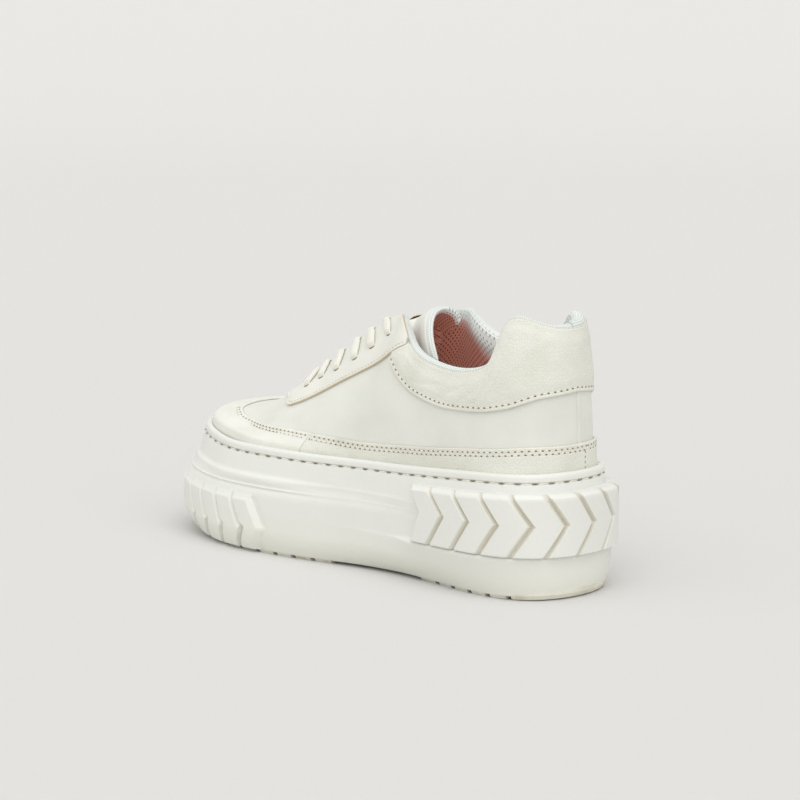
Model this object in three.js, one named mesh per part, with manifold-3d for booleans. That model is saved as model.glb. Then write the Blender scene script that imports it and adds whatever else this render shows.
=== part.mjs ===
// Platform sneaker, left shoe: cup sole with a raised platform, hollow lasted upper,
// tongue, insole, leather overlays, heel wrap and bar lacing.
// Millimetres. +X toe, +Y outer (lateral) side, +Z up; origin under the middle of the sole.
import * as THREE from 'three';
import Module from 'manifold-3d';
import { mergeVertices } from 'three/addons/utils/BufferGeometryUtils.js';

const wasm = await Module();
wasm.setup();

// ---------------------------------------------------------------- driving sizes
const GAP = 0.3;            // clearance between neighbouring pieces
const CUP_WALL = 3.1;       // thickness of the sole's rim around the upper
const CUP_CLEARANCE = 0.5;  // between the rim and the mudguard inside it
const UPPER_WALL = 2.2;     // leather and lining
const COLLAR_PAD = 4.6;     // foam added at the ankle collar
const COLLAR_ROLL = 3.4;    // how far the padded edge rises above the leather
const OVERLAY = 1.2;        // thickness of a leather overlay
const INSOLE_THICK = 4;
const OUTSOLE_THICK = 4.6;
const LUG_DEPTH = 2.8;      // tread grooves and the lift under the arch
const FOOTBED_DEPTH = 14.5; // rim top down to the footbed

// Outline of the sole in plan at its widest level: a row per station, heel to toe.
// top is the place on TOPLINE (row number) that the upper's section at this station runs up to;
// rise/lean shape the section where it leaves the sole, run/drop where it reaches the top.
const STATIONS = [
  { name: 'heelBack', x: -139.5, lateral: 0, medial: 0, top: 0, rise: 34, lean: 0.5, run: 5, drop: 24 },
  { name: 'heelEnd', x: -133.5, lateral: 23.5, medial: -23.5, top: 1, rise: 34, lean: 0.5, run: 5, drop: 24 },
  { name: 'heelTurn', x: -115, lateral: 37, medial: -35.5, top: 2.5, rise: 32, lean: 0.5, run: 5, drop: 22 },
  { name: 'heelSide', x: -86, lateral: 41, medial: -39, top: 5.8, rise: 24, lean: 0.5, run: 5, drop: 18 },
  { name: 'waistBack', x: -52, lateral: 41, medial: -38.5, top: 7.7, rise: 22, lean: 0.5, run: 7, drop: 20 },
  { name: 'waist', x: -18, lateral: 42.5, medial: -40, top: 9.5, rise: 26, lean: 0.5, run: 12, drop: 20 },
  { name: 'ballIn', x: 16, lateral: 48.5, medial: -46.5, top: 11.4, rise: 23, lean: 0.5, run: 15, drop: 20 },
  { name: 'ball', x: 50, lateral: 53, medial: -52.5, top: 12.7, rise: 18, lean: 0.5, run: 14, drop: 17 },
  { name: 'ballFront', x: 82, lateral: 52, medial: -52.5, top: 13.8, rise: 16, lean: 0.5, run: 14, drop: 13 },
  { name: 'toeSide', x: 112, lateral: 43, medial: -46.5, top: 14.7, rise: 22, lean: 2, run: 20, drop: 14 },
  { name: 'toeCorner', x: 133, lateral: 25, medial: -30, top: 15.4, rise: 30, lean: 4.5, run: 25, drop: 19 },
  { name: 'toeTip', x: 143, lateral: -4, medial: -4, top: 16, rise: 32, lean: 6.8, run: 25, drop: 20.5 },
];
const LAST_STATION = STATIONS.length - 1;

// Top edge of the upper's leather, heel to the front of the throat; lift raises the medial side
// at the ankle and lowers it at the heel and along the throat.
const TOPLINE = [
  { name: 'heelBack', x: -128, z: 131.5, lateral: 0, medial: 0, lift: 0 },
  { name: 'heelBend', x: -124, z: 133, lateral: 13, medial: -13, lift: -0.8 },
  { name: 'horn', x: -114, z: 137, lateral: 22.5, medial: -22.5, lift: -3.6 },
  { name: 'hornFront', x: -107, z: 131, lateral: 25.5, medial: -25.5, lift: -2.5 },
  { name: 'drop', x: -102.5, z: 117.5, lateral: 28, medial: -28, lift: 0.5 },
  { name: 'dipBack', x: -95, z: 110.5, lateral: 29.5, medial: -29.5, lift: 2 },
  { name: 'dip', x: -81, z: 108, lateral: 30, medial: -30, lift: 3 },
  { name: 'side', x: -64, z: 109, lateral: 28.5, medial: -30, lift: 4 },
  { name: 'ankleFront', x: -47, z: 113.7, lateral: 25.8, medial: -29, lift: 5.5 },
  { name: 'cornerLow', x: -37.5, z: 122.5, lateral: 22.5, medial: -26.5, lift: 5 },
  { name: 'corner', x: -30, z: 128.6, lateral: 17.5, medial: -22, lift: 1.5 },
  { name: 'throatTop', x: -18, z: 128.2, lateral: 10, medial: -15.5, lift: -2.5 },
  { name: 'throatUpper', x: 4, z: 116.8, lateral: 9, medial: -14.5, lift: -3.5 },
  { name: 'throatMid', x: 28, z: 102.2, lateral: 8.5, medial: -14, lift: -3.5 },
  { name: 'throatLow', x: 48, z: 89.8, lateral: 7.5, medial: -13.5, lift: -2.5 },
  { name: 'throatEnd', x: 60, z: 83.5, lateral: 3.5, medial: -10.5, lift: -1 },
  { name: 'throatFront', x: 64, z: 81.5, lateral: -4, medial: -4, lift: 0 },
];

// Levels of the sole's wall: height and inward (negative) or outward offset from the outline
// in eight zones along the shoe.
const ZONES = [-139.5, -100, -62, -44, 20, 70, 110, 143];
const LEVELS = {
  tread: { offset: [-2.8, -5.5, -9, -10, -5.5, -5, -7, -14], height: [0.8, 0, 0, 0, 0, 0, 2.5, 11] },
  welt: { offset: [-0.6, -1.5, -3.5, -3.5, -1.5, -1.5, -2, -4], height: [8, 7, 6.5, 6.5, 6.5, 7, 9, 17] },
  wallLow: { offset: [0.2, 0.5, -0.2, -0.5, 0, 0, 0, -0.5], height: [13, 12, 12, 12, 12, 12, 13, 20] },
  wall: { offset: [0.6, 3.4, 2.6, 0.3, 0, 0, 0, 0], height: [21.5, 21.5, 21.5, 21.5, 21, 20, 22, 27] },
  seat: { offset: [-0.4, -0.4, -0.3, 0, 0, 0, 0, 0], height: [22.7, 22.7, 22.7, 22.7, 23, 23, 24.5, 29.5] },
  wallTop: {
    offset: [-0.4, -0.4, -0.4, -0.3, -0.3, -0.5, -0.6, -0.8],
    height: [33, 33, 33, 33, 32, 32, 33, 36.5],
  },
  bead: {
    offset: [-0.6, -0.6, -0.8, -1, -1.6, -2.5, -3, -3.5],
    height: [37.5, 37.5, 37.5, 37.5, 36.5, 36.5, 37.5, 40.5],
  },
  band: {
    offset: [-1, -1, -1.2, -1.5, -3.2, -4.5, -6.5, -7.5],
    height: [40, 40, 40, 40, 39.5, 39.5, 41, 44],
  },
  groove: {
    offset: [-3.2, -3.2, -3.2, -3.2, -5.2, -7.5, -9.5, -11],
    height: [58, 56.8, 54.5, 53.4, 51.8, 51.8, 54.3, 57.3],
  },
  rim: {
    offset: [-3.5, -3.5, -3.5, -3.5, -5.5, -8, -10.5, -12],
    height: [62.5, 61.3, 59, 57.9, 56.3, 56.3, 58.8, 61.8],
  },
};

const OUTER_ROWS = 8;        // rows of the upper's outer face
const INNER_ROWS = 5;        // and of its lining

// Columns of the mesh in each interval between stations (closer at the heel, where the collar turns).
const COLUMNS = [3, 5, 6, 3, 4, 3, 3, 2, 2, 3, 3];

// ---------------------------------------------------------------- curves
// Cubic B-spline through the given values, closed on itself and smooth to the second derivative.
class SmoothLoop extends THREE.Curve {
  constructor(points) {
    super();
    this.count = points.length;
    const at = (list, i) => list[(i + this.count) % this.count];
    let control = points.map((p) => p.clone());
    for (let pass = 0; pass < 40; pass += 1) {
      control = points.map((p, i) => p.clone().multiplyScalar(6)
        .sub(at(control, i - 1)).sub(at(control, i + 1)).multiplyScalar(0.25));
    }
    this.control = control;
  }

  at(place) {
    const wrapped = ((place % this.count) + this.count) % this.count;
    const i = Math.floor(wrapped);
    const f = wrapped - i;
    const weights = [(1 - f) ** 3, 3 * f ** 3 - 6 * f ** 2 + 4, -3 * f ** 3 + 3 * f ** 2 + 3 * f + 1, f ** 3];
    const point = new THREE.Vector3();
    weights.forEach((w, k) => {
      point.addScaledVector(this.control[(i + k - 1 + this.count) % this.count], w / 6);
    });
    return point;
  }

  getPoint(t, target = new THREE.Vector3()) {
    return target.copy(this.at(t * this.count));
  }
}

// A loop from a heel-to-toe table: the lateral rows forward, then the medial rows back.
function loopFromTable(rows) {
  const lateral = rows.map((r) => new THREE.Vector3(r.x, r.lateral, r.z ?? 0));
  const medial = rows.slice(1, -1).reverse()
    .map((r) => new THREE.Vector3(r.x, r.medial, (r.z ?? 0) + (r.lift ?? 0)));
  return new SmoothLoop([...lateral, ...medial]);
}

// Smooth monotone table lookup (cubic between rows, no overshoot).
function lookup(places, values, x) {
  const last = places.length - 1;
  if (x <= places[0]) return values[0];
  if (x >= places[last]) return values[last];
  let i = 0;
  while (x > places[i + 1]) i += 1;
  const step = (k) => (values[k + 1] - values[k]) / (places[k + 1] - places[k]);
  const slope = (k) => {
    if (k === 0 || k === last) return k === 0 ? step(0) : step(last - 1);
    const a = step(k - 1);
    const b = step(k);
    return a * b <= 0 ? 0 : (2 * a * b) / (a + b);
  };
  const h = places[i + 1] - places[i];
  const f = (x - places[i]) / h;
  return values[i] * (1 + 2 * f) * (1 - f) ** 2 + values[i + 1] * f * f * (3 - 2 * f)
    + h * (slope(i) * f * (1 - f) ** 2 - slope(i + 1) * f * f * (1 - f));
}

const smooth = (a, b, x) => {
  const f = Math.min(1, Math.max(0, (x - a) / (b - a)));
  return f * f * (3 - 2 * f);
};

const outline = loopFromTable(STATIONS);
const topline = loopFromTable(TOPLINE);
const stationRows = STATIONS.map((_, i) => i);
const stationValue = (column, s) => lookup(stationRows, STATIONS.map((r) => r[column]), s);

// A place u runs 0 (heel back) to LAST_STATION (toe tip) on the lateral side and on to
// 2 * LAST_STATION on the medial side. fold(u) is the station counted from the heel.
const FULL_TURN = 2 * LAST_STATION;
const fold = (u) => (u <= LAST_STATION ? u : FULL_TURN - u);

function outlinePoint(u, offset = 0) {
  const point = outline.at(u);
  const ahead = outline.at(u + 0.01);
  const behind = outline.at(u - 0.01);
  const along = ahead.sub(behind).normalize();
  return point.addScaledVector(new THREE.Vector3(-along.y, along.x, 0), offset);
}

// Outward direction in plan at u.
function outward(u) {
  return outlinePoint(u, 1).sub(outlinePoint(u, 0));
}

const zone = (column, x) => lookup(ZONES, column, x);

// A point on one level of the sole's wall.
function levelPoint(level, u, extraOffset = 0, extraHeight = 0) {
  const x = outline.at(u).x;
  const point = outlinePoint(u, zone(level.offset, x) + extraOffset);
  point.z = zone(level.height, x) + extraHeight;
  return point;
}

const columns = [];
COLUMNS.forEach((n, i) => {
  for (let k = 0; k < n; k += 1) columns.push(i + k / n);
});
const ringColumns = [...columns, LAST_STATION, ...columns.slice(1).map((s) => FULL_TURN - s).reverse()];

// ---------------------------------------------------------------- the upper's surface
const FEATHER_OFFSET = -(CUP_WALL + CUP_CLEARANCE + OVERLAY + GAP);

// Height of the footbed inside the cup.
const footbedHeight = (u) => levelPoint(LEVELS.rim, u).z - FOOTBED_DEPTH;

// The inner side of the foot is flatter: share of run that its sections keep, by station.
const INNER_STATIONS = [0, 3, 5, 8, LAST_STATION];
const INNER_SHARE = [1, 0.3, 0.3, 0.85, 1];

// Section of the upper at u, a cubic from the sole (v = 0) to the top edge (v = 1).
function upperCurve(u) {
  const s = fold(u);
  const feather = levelPoint(LEVELS.rim, u, FEATHER_OFFSET);
  feather.z = footbedHeight(u) + GAP;
  const row = stationValue('top', s);
  const top = topline.at(u <= LAST_STATION ? row : 2 * (TOPLINE.length - 1) - row);
  const out = outward(u);
  const low = feather.clone().addScaledVector(out, stationValue('lean', s));
  low.z += stationValue('rise', s);
  const kept = u > LAST_STATION ? lookup(INNER_STATIONS, INNER_SHARE, s) : 1;
  const high = top.clone().addScaledVector(out, kept * stationValue('run', s));
  high.z -= stationValue('drop', s);
  return new THREE.CubicBezierCurve3(feather, low, high, top);
}

const curveStore = new Map();
function upperPoint(u, v) {
  if (!curveStore.has(u)) curveStore.set(u, upperCurve(u));
  return curveStore.get(u).getPoint(v);
}

// Surface point moved out along the surface normal.
function upperAt(u, v, offset = 0) {
  const du = 0.02;
  const dv = 0.01;
  const vLow = Math.max(0, v - dv);
  const vHigh = Math.min(1, v + dv);
  const wrap = (a) => ((a % FULL_TURN) + FULL_TURN) % FULL_TURN;
  const along = upperPoint(wrap(u + du), v).sub(upperPoint(wrap(u - du), v));
  const up = upperPoint(u, vHigh).sub(upperPoint(u, vLow));
  const normal = up.cross(along).normalize();
  return upperPoint(u, v).addScaledVector(normal, offset);
}

// Foam pad: full at the ankle collar, none along the throat.
const PAD_STATIONS = [0, 4.6, 5.3, LAST_STATION];
const PAD_SHARE = [1, 1, 0, 0];
const padShare = (u) => lookup(PAD_STATIONS, PAD_SHARE, fold(u));
const wallAt = (u, v) => UPPER_WALL + COLLAR_PAD * padShare(u) * smooth(0.45, 0.9, v);

// ---------------------------------------------------------------- solids from sections
// Joins closed sections (equal point counts) into one solid. Ends are closed by a ladder of
// triangles across the section, folded at point 0 (foldAt = 0) or between first and last (1).
// A section folded between first and last has two faces, split along the same diagonals.
function loft(sections, { ring = false, foldAt = 0 } = {}) {
  const size = sections[0].length;
  const vertices = sections.flat();
  const faces = [];
  const quad = (a, b, c, d, turned) => {
    if (turned) faces.push([b, c, d], [b, d, a]);
    else faces.push([a, b, c], [a, c, d]);
  };
  const joins = ring ? sections.length : sections.length - 1;
  for (let j = 0; j < joins; j += 1) {
    const here = j * size;
    const next = ((j + 1) % sections.length) * size;
    for (let i = 0; i < size; i += 1) {
      const k = (i + 1) % size;
      quad(here + i, here + k, next + k, next + i, foldAt === 1 && i >= size / 2);
    }
  }
  if (!ring) {
    const lastSection = (sections.length - 1) * size;
    const other = (i) => (size - i - foldAt + size) % size;
    for (let i = 0; i < size / 2 - (foldAt ? 1 : 0); i += 1) {
      const corners = [i, i + 1, other(i + 1), other(i)];
      const unique = [...new Set(corners)];
      for (let k = 1; k + 1 < unique.length; k += 1) {
        const triangle = [unique[0], unique[k], unique[k + 1]];
        faces.push([triangle[2], triangle[1], triangle[0]]);
        faces.push(triangle.map((n) => n + lastSection));
      }
    }
  }
  return solid(vertices, faces);
}

// BufferGeometry with every face pointing out.
function solid(vertices, faces) {
  let volume = 0;
  faces.forEach(([a, b, c]) => {
    volume += vertices[a].dot(vertices[b].clone().cross(vertices[c]));
  });
  const turned = volume < 0 ? faces.map(([a, b, c]) => [a, c, b]) : faces;
  const geometry = new THREE.BufferGeometry();
  const flat = vertices.flatMap((p) => p.toArray());
  geometry.setAttribute('position', new THREE.Float32BufferAttribute(flat, 3));
  geometry.setIndex(turned.flat());
  return geometry;
}

function toManifold(geometry) {
  const bare = geometry.clone();
  bare.deleteAttribute('normal');
  bare.deleteAttribute('uv');
  const merged = mergeVertices(bare, 1e-4);
  return new wasm.Manifold(new wasm.Mesh({
    numProp: 3,
    vertProperties: new Float32Array(merged.attributes.position.array),
    triVerts: new Uint32Array(merged.index.array),
  }));
}

function fromManifold(body) {
  const mesh = body.getMesh();
  const geometry = new THREE.BufferGeometry();
  geometry.setAttribute('position', new THREE.BufferAttribute(new Float32Array(mesh.vertProperties), 3));
  geometry.setIndex(new THREE.BufferAttribute(new Uint32Array(mesh.triVerts), 1));
  return geometry;
}

const shoe = new THREE.Group();
function addPiece(name, geometry, color, roughness = 0.6) {
  geometry.computeVertexNormals();
  const material = new THREE.MeshStandardMaterial({ color, roughness, metalness: 0 });
  const mesh = new THREE.Mesh(geometry, material);
  mesh.name = name;
  shoe.add(mesh);
}

const ringOf = (point) => ringColumns.map((u) => point(u));

// ---------------------------------------------------------------- sole
// Outsole: a rubber sheet that follows the ground, cut by grooves and lifted under the arch.
const GROOVE_WIDTH = 3;
const HEEL_GROOVES = { from: -76, pitch: -12, count: 5 };
const FORE_GROOVES = { from: 8, pitch: 12.5, count: 8 };
const ARCH = { from: -62, to: -2 };

function outsoleBody() {
  const lift = LEVELS.tread;
  return loft([
    ringOf((u) => levelPoint(lift, u)),
    ringOf((u) => levelPoint(lift, u, 1.6, OUTSOLE_THICK * 0.5)),
    ringOf((u) => levelPoint(lift, u, 1.8, OUTSOLE_THICK)),
  ]);
}

// One V-shaped bar across the sole, used to cut a groove.
function chevronBar(x, width, point) {
  const shape = new THREE.Shape([
    new THREE.Vector2(x, -70), new THREE.Vector2(x + width, -70),
    new THREE.Vector2(x + width + point, 0), new THREE.Vector2(x + width, 70),
    new THREE.Vector2(x, 70), new THREE.Vector2(x + point, 0),
  ]);
  const bar = new THREE.ExtrudeGeometry(shape, { depth: LUG_DEPTH + 10, bevelEnabled: false });
  return bar.translate(0, 0, -10);
}

function outsole() {
  let body = toManifold(outsoleBody());
  const grooves = [];
  for (let k = 0; k < HEEL_GROOVES.count; k += 1) grooves.push(HEEL_GROOVES.from + k * HEEL_GROOVES.pitch);
  for (let k = 0; k < FORE_GROOVES.count; k += 1) grooves.push(FORE_GROOVES.from + k * FORE_GROOVES.pitch);
  const CHEVRON_POINT = 9;
  grooves.forEach((x) => {
    const bar = chevronBar(x, GROOVE_WIDTH, CHEVRON_POINT);
    const rise = levelPoint(LEVELS.tread, nearestStation(x)).z;
    body = body.subtract(toManifold(bar.translate(0, 0, rise)));
  });
  body = body.subtract(toManifold(chevronBar(ARCH.from, ARCH.to - ARCH.from, CHEVRON_POINT)));
  return fromManifold(body);
}

// Station whose outline point has the given x.
function nearestStation(x) {
  let low = 0;
  let high = LAST_STATION;
  for (let pass = 0; pass < 30; pass += 1) {
    const middle = (low + high) / 2;
    if (outline.at(middle).x < x) low = middle;
    else high = middle;
  }
  return low;
}

addPiece('outsole', outsole(), 0xdcdccf, 0.7);

// Length along the outline, measured from the heel back: positive on the medial side.
const ARC_STEPS = 880;
const arcPlaces = [0];
const arcLengths = [0];
for (let k = 1; k <= ARC_STEPS; k += 1) {
  const u = (k / ARC_STEPS) * FULL_TURN;
  arcLengths.push(arcLengths[k - 1] + outline.at(u).distanceTo(outline.at(arcPlaces[k - 1])));
  arcPlaces.push(u);
}
const PERIMETER = arcLengths[ARC_STEPS];
const TOE_ARC = lookup(arcPlaces, arcLengths, LAST_STATION);
const placeAtArc = (arc) => lookup(arcLengths, arcPlaces, (((-arc) % PERIMETER) + PERIMETER) % PERIMETER);

// Toe bumper: raised blocks on the sole's toe, each bent at a knee near the ground.
const LUG = { pitch: 14.35, groove: 2.4, rise: 2.2, sideCount: 8, root: 1.5, bevel: 1 };
// A row per bend of a block: level, height below it, how far the block leans back, how proud it is.
const LUG_ROWS = [
  { level: 'wallTop', drop: 1, lean: 0, proud: 0.6 },
  { level: 'wallLow', drop: -2, lean: 1.5, proud: 1 },
  { level: 'welt', drop: 1, lean: -2.5, proud: 0.3 },
];

function toeLug(index) {
  const half = (LUG.pitch - LUG.groove) / 2;
  const centre = index * LUG.pitch - TOE_ARC;
  return loft(LUG_ROWS.map((row) => {
    const corner = (along, proud) => {
      const u = placeAtArc(centre + along + Math.sign(index) * row.lean);
      return levelPoint(LEVELS[row.level], u, proud, -row.drop);
    };
    const proud = LUG.rise * row.proud;
    const face = half - LUG.bevel;
    return [corner(-half, -LUG.root), corner(half, -LUG.root), corner(face, proud), corner(-face, proud)];
  }), { foldAt: 1 });
}

function midsole() {
  const L = LEVELS;
  const body = loft([
    ringOf((u) => levelPoint(L.tread, u, 1.8, OUTSOLE_THICK + GAP)),
    ringOf((u) => levelPoint(L.welt, u)),
    ringOf((u) => levelPoint(L.wallLow, u)),
    ringOf((u) => levelPoint(L.wall, u)),
    ringOf((u) => levelPoint(L.seat, u)),
    ringOf((u) => levelPoint(L.wallTop, u)),
    ringOf((u) => levelPoint(L.bead, u)),
    ringOf((u) => levelPoint(L.band, u)),
    ringOf((u) => levelPoint(L.groove, u)),
    ringOf((u) => levelPoint(L.rim, u, 0.2, -2.4)),
    ringOf((u) => levelPoint(L.rim, u, -0.9, -0.3)),
    ringOf((u) => levelPoint(L.rim, u, 0.9 - CUP_WALL, 0)),
    ringOf((u) => levelPoint(L.rim, u, -CUP_WALL, -1)),
    ringOf((u) => levelPoint(L.rim, u, -CUP_WALL, -FOOTBED_DEPTH)),
  ]);
  let joined = toManifold(body);
  for (let k = -LUG.sideCount; k <= LUG.sideCount; k += 1) {
    joined = joined.add(toManifold(toeLug(k)));
  }
  return fromManifold(joined);
}
addPiece('midsole', midsole(), 0xe2e3dc, 0.65);

// Heel wrap: a band round the heel made of V-shaped plates with grooves between them.
const WRAP = { front: -95.5, firstGroove: -79, pitch: 16, grooves: 12, lean: 10, frontLean: 5.5, fall: 2.6 };
const WRAP_FACE = 4.2;      // how far the plates stand out from the outline
const WRAP_FLOOR = 2;       // bottom of a groove
const WRAP_BACK = 1;      // inner face against the midsole
// A row per edge of the band: height, share of the lean, share of the face height; the top
// rows fall a little toward the front ends.
const WRAP_ROWS = [
  { height: 23.4, lean: 1, face: 1 },
  { height: 38, lean: 0, face: 1 },
  { height: 50.3, lean: 0.85, face: 1, top: true },
  { height: 53.3, lean: 1, face: 0.35, top: true },
];

function heelWrap() {
  const cuts = [{ along: WRAP.front, face: WRAP_FACE, lean: WRAP.frontLean }];
  for (let k = 0; k < WRAP.grooves; k += 1) {
    const centre = WRAP.firstGroove + k * WRAP.pitch;
    const stops = [[-1.5, WRAP_FACE], [-0.6, WRAP_FLOOR], [0.6, WRAP_FLOOR], [2, WRAP_FACE], [9, WRAP_FACE]];
    stops.forEach(([shift, face]) => cuts.push({ along: centre + shift, face, lean: WRAP.lean }));
  }
  return loft(cuts.map((cut) => {
    const point = (row, offset) => {
      const u = placeAtArc(cut.along - row.lean * cut.lean);
      const p = outlinePoint(u, offset);
      const fall = row.top ? WRAP.fall * smooth(20, 100, Math.abs(cut.along)) : 0;
      p.z = row.height - fall;
      return p;
    };
    const outer = WRAP_ROWS.map((row) => point(row, WRAP_BACK + (cut.face - WRAP_BACK) * row.face));
    const inner = WRAP_ROWS.map((row) => point(row, WRAP_BACK)).reverse();
    return [...outer, ...inner];
  }), { foldAt: 1 });
}
addPiece('heel_wrap', heelWrap(), 0xe6e7df, 0.6);

// ---------------------------------------------------------------- upper
// Outer face, rolled top edge, then the lining back down to the open bottom.
function upper() {
  const rows = [];
  for (let k = 0; k <= OUTER_ROWS; k += 1) {
    rows.push((u) => upperAt(u, k / OUTER_ROWS));
  }
  rows.push((u) => {
    const edge = upperAt(u, 1, -wallAt(u, 1) / 2);
    edge.z += COLLAR_ROLL * padShare(u) + 0.4;
    return edge;
  });
  for (let k = INNER_ROWS; k >= 0; k -= 1) {
    rows.push((u) => upperAt(u, k / INNER_ROWS, -wallAt(u, k / INNER_ROWS)));
  }
  return loft(rows.map(ringOf), { ring: true });
}
addPiece('upper', upper(), 0xdedfdb, 0.5);

// ---------------------------------------------------------------- insole
function insole() {
  const inner = FEATHER_OFFSET - UPPER_WALL - GAP;
  const level = (u, offset, rise) => {
    const point = levelPoint(LEVELS.rim, u, inner + offset);
    point.z = footbedHeight(u) + GAP + rise;
    return point;
  };
  return loft([
    ringOf((u) => level(u, -0.5, 0)),
    ringOf((u) => level(u, -0.5, INSOLE_THICK * 0.6)),
    ringOf((u) => level(u, -1.5, INSOLE_THICK)),
  ]);
}
addPiece('insole', insole(), 0xa85c48, 0.9);

// ---------------------------------------------------------------- leather overlays
// Edges of the panels: station (at) and height of the seam above the ground.
const GUARD_EDGE = [
  { at: 0, z: 75 }, { at: 1.1, z: 75 }, { at: 2.6, z: 72.3 }, { at: 3.9, z: 68 },
  { at: 5.4, z: 65.2 }, { at: 6.5, z: 65.6 }, { at: 7.9, z: 64.8 }, { at: 8.6, z: 65.6 },
  { at: 9.1, z: 67.2 }, { at: 10, z: 69.3 }, { at: 11, z: 69.8 },
];
const COLLAR_SEAM = [
  { at: 0, z: 100.8 }, { at: 1.1, z: 98.5 }, { at: 2, z: 92.8 }, { at: 2.8, z: 89.8 },
  { at: 3.2, z: 89.4 }, { at: 3.9, z: 92.6 }, { at: 4.4, z: 98 }, { at: 4.9, z: 105.2 },
  { at: 5.3, z: 111.2 },
];
const STAY_EDGE = [
  { at: 4.45, z: 118 }, { at: 5.06, z: 113.2 }, { at: 5.7, z: 103.6 }, { at: 6.35, z: 93 },
  { at: 7, z: 82.2 }, { at: 7.35, z: 77.8 }, { at: 7.65, z: 75.6 }, { at: 8.2, z: 77.8 },
  { at: 9, z: 78.6 }, { at: 10, z: 78.2 }, { at: 11, z: 77.6 },
];
const TOE_CAP_JOIN = 6.3;    // station of the upright seam between toe cap and mudguard
const JOIN_GAP = 0.015;      // gap at a join, in stations
const SEAM_GAP = 0.008;      // gap between two panels, as a share of the section
const BED = GAP + 0.1;       // gap under a panel, for the glue and the seam
const wrapPlace = (u) => (u + FULL_TURN) % FULL_TURN;

// Share of the section at u where the upper reaches the height that a table gives.
function shareAt(table, u) {
  const height = lookup(table.map((r) => r.at), table.map((r) => r.z), fold(u));
  let low = 0;
  let high = 1;
  for (let pass = 0; pass < 24; pass += 1) {
    const middle = (low + high) / 2;
    if (upperPoint(u, middle).z < height) low = middle;
    else high = middle;
  }
  return low;
}

// A point over the faceted skin of the upper, so that a panel stays parallel to its faces.
function overSkin(u, v, offset) {
  const next = ringColumns.findIndex((c) => c > u);
  const after = next === -1 ? 0 : next;
  const before = (after - 1 + ringColumns.length) % ringColumns.length;
  const span = (ringColumns[after] || FULL_TURN) - ringColumns[before];
  const row = Math.min(Math.floor(v * OUTER_ROWS), OUTER_ROWS - 1);
  const up = v * OUTER_ROWS - row;
  const along = (column) => upperAt(column, row / OUTER_ROWS, offset)
    .lerp(upperAt(column, (row + 1) / OUTER_ROWS, offset), up);
  return along(ringColumns[before]).lerp(along(ringColumns[after]), (u - ringColumns[before]) / span);
}

// A leather panel lying on the upper between two places round the shoe; its low and high
// edges are functions of the place. A row that an edge clips is kept a little inside it.
function panel(from, to, lowEdge, highEdge) {
  const LEAST = 0.004;
  const NEAR = 0.05;
  const turn = (u) => (from < 0 && u > LAST_STATION ? u - FULL_TURN : u);
  const inside = ringColumns.map(turn).filter((u) => u > from + NEAR && u < to - NEAR).sort((a, b) => a - b);
  const places = [from, ...inside, to].map((u) => ({ u: wrapPlace(u) }));
  places.forEach((place) => {
    place.low = lowEdge(place.u);
    place.high = highEdge(place.u);
  });
  const crossed = [...Array(OUTER_ROWS + 1).keys()].map((k) => k / OUTER_ROWS)
    .filter((v) => places.some((place) => v > place.low && v < place.high));
  return loft(places.map(({ u, low, high }) => {
    const rows = [low, ...crossed.map((v, k) => {
      const floor = low + (k + 1) * LEAST;
      const ceiling = high - (crossed.length - k) * LEAST;
      return Math.min(ceiling, Math.max(floor, v));
    }), high];
    const outer = rows.map((v) => overSkin(u, v, BED + OVERLAY));
    const inner = rows.map((v) => overSkin(u, v, BED)).reverse();
    return [...outer, ...inner];
  }), { foldAt: 1 });
}

const MUDGUARD = 0xe6e6da;
const guardTop = (u) => shareAt(GUARD_EDGE, u);
const mudguard = (from, to) => panel(from, to, () => 0, guardTop);
const medialJoin = FULL_TURN - TOE_CAP_JOIN;
addPiece('toe_cap', mudguard(TOE_CAP_JOIN, medialJoin), MUDGUARD, 0.6);
addPiece('mudguard_lateral', mudguard(JOIN_GAP, TOE_CAP_JOIN - JOIN_GAP), MUDGUARD, 0.6);
addPiece('mudguard_medial', mudguard(medialJoin + JOIN_GAP, FULL_TURN - JOIN_GAP), MUDGUARD, 0.6);

const COLLAR_END = 5.1;
const PANEL_TOP = 0.985;
const stayEdge = (u) => (fold(u) <= STAY_EDGE[0].at ? 1 : shareAt(STAY_EDGE, u));
const collarTop = (u) => Math.min(PANEL_TOP, stayEdge(u) - SEAM_GAP);
const collarLow = (u) => shareAt(COLLAR_SEAM, u);
addPiece('collar_panel', panel(-COLLAR_END, COLLAR_END, collarLow, collarTop), 0xe8e9df, 0.6);

const STAY_START = 4.6;
addPiece('eyestay', panel(STAY_START, FULL_TURN - STAY_START, stayEdge, () => 1), 0xe7e8de, 0.55);

// ---------------------------------------------------------------- tongue
const TONGUE_THICK = 4;
const TONGUE_CLEAR = 1;    // below the upper's lining
const TONGUE_CROWN = 1.5;
// Stations in the throat that the tongue passes, front to ankle.
const TONGUE_STATIONS = [10, 9, 8, 7.2, 6.4, 5.75];
const TONGUE_FLANK = [0.74, 0.87, 0.97];
// The free top of the tongue: middle of its edge, then for each side the half width and how
// far the edge falls.
const TONGUE_TOP = [
  { x: -23.5, z: 127.4, lateral: { half: 17, fall: 21 }, medial: { half: 14, fall: 12 } },
  { x: -30, z: 131.8, lateral: { half: 19, fall: 27 }, medial: { half: 15, fall: 14 } },
  { x: -35.5, z: 134.6, lateral: { half: 19.5, fall: 30 }, medial: { half: 15, fall: 15 } },
];
const THROAT_MIDDLE = -3.5;
const TONGUE_FALL = { lateral: new THREE.Vector3(-0.5, 0, -0.86), medial: new THREE.Vector3(0, 0, -1) };
const TONGUE_SINK = new THREE.Vector3(-0.6, 0, -0.8);   // the way its thickness lies at the top
const BRIDGE = [0.25, 0.5, 0.75];

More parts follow.
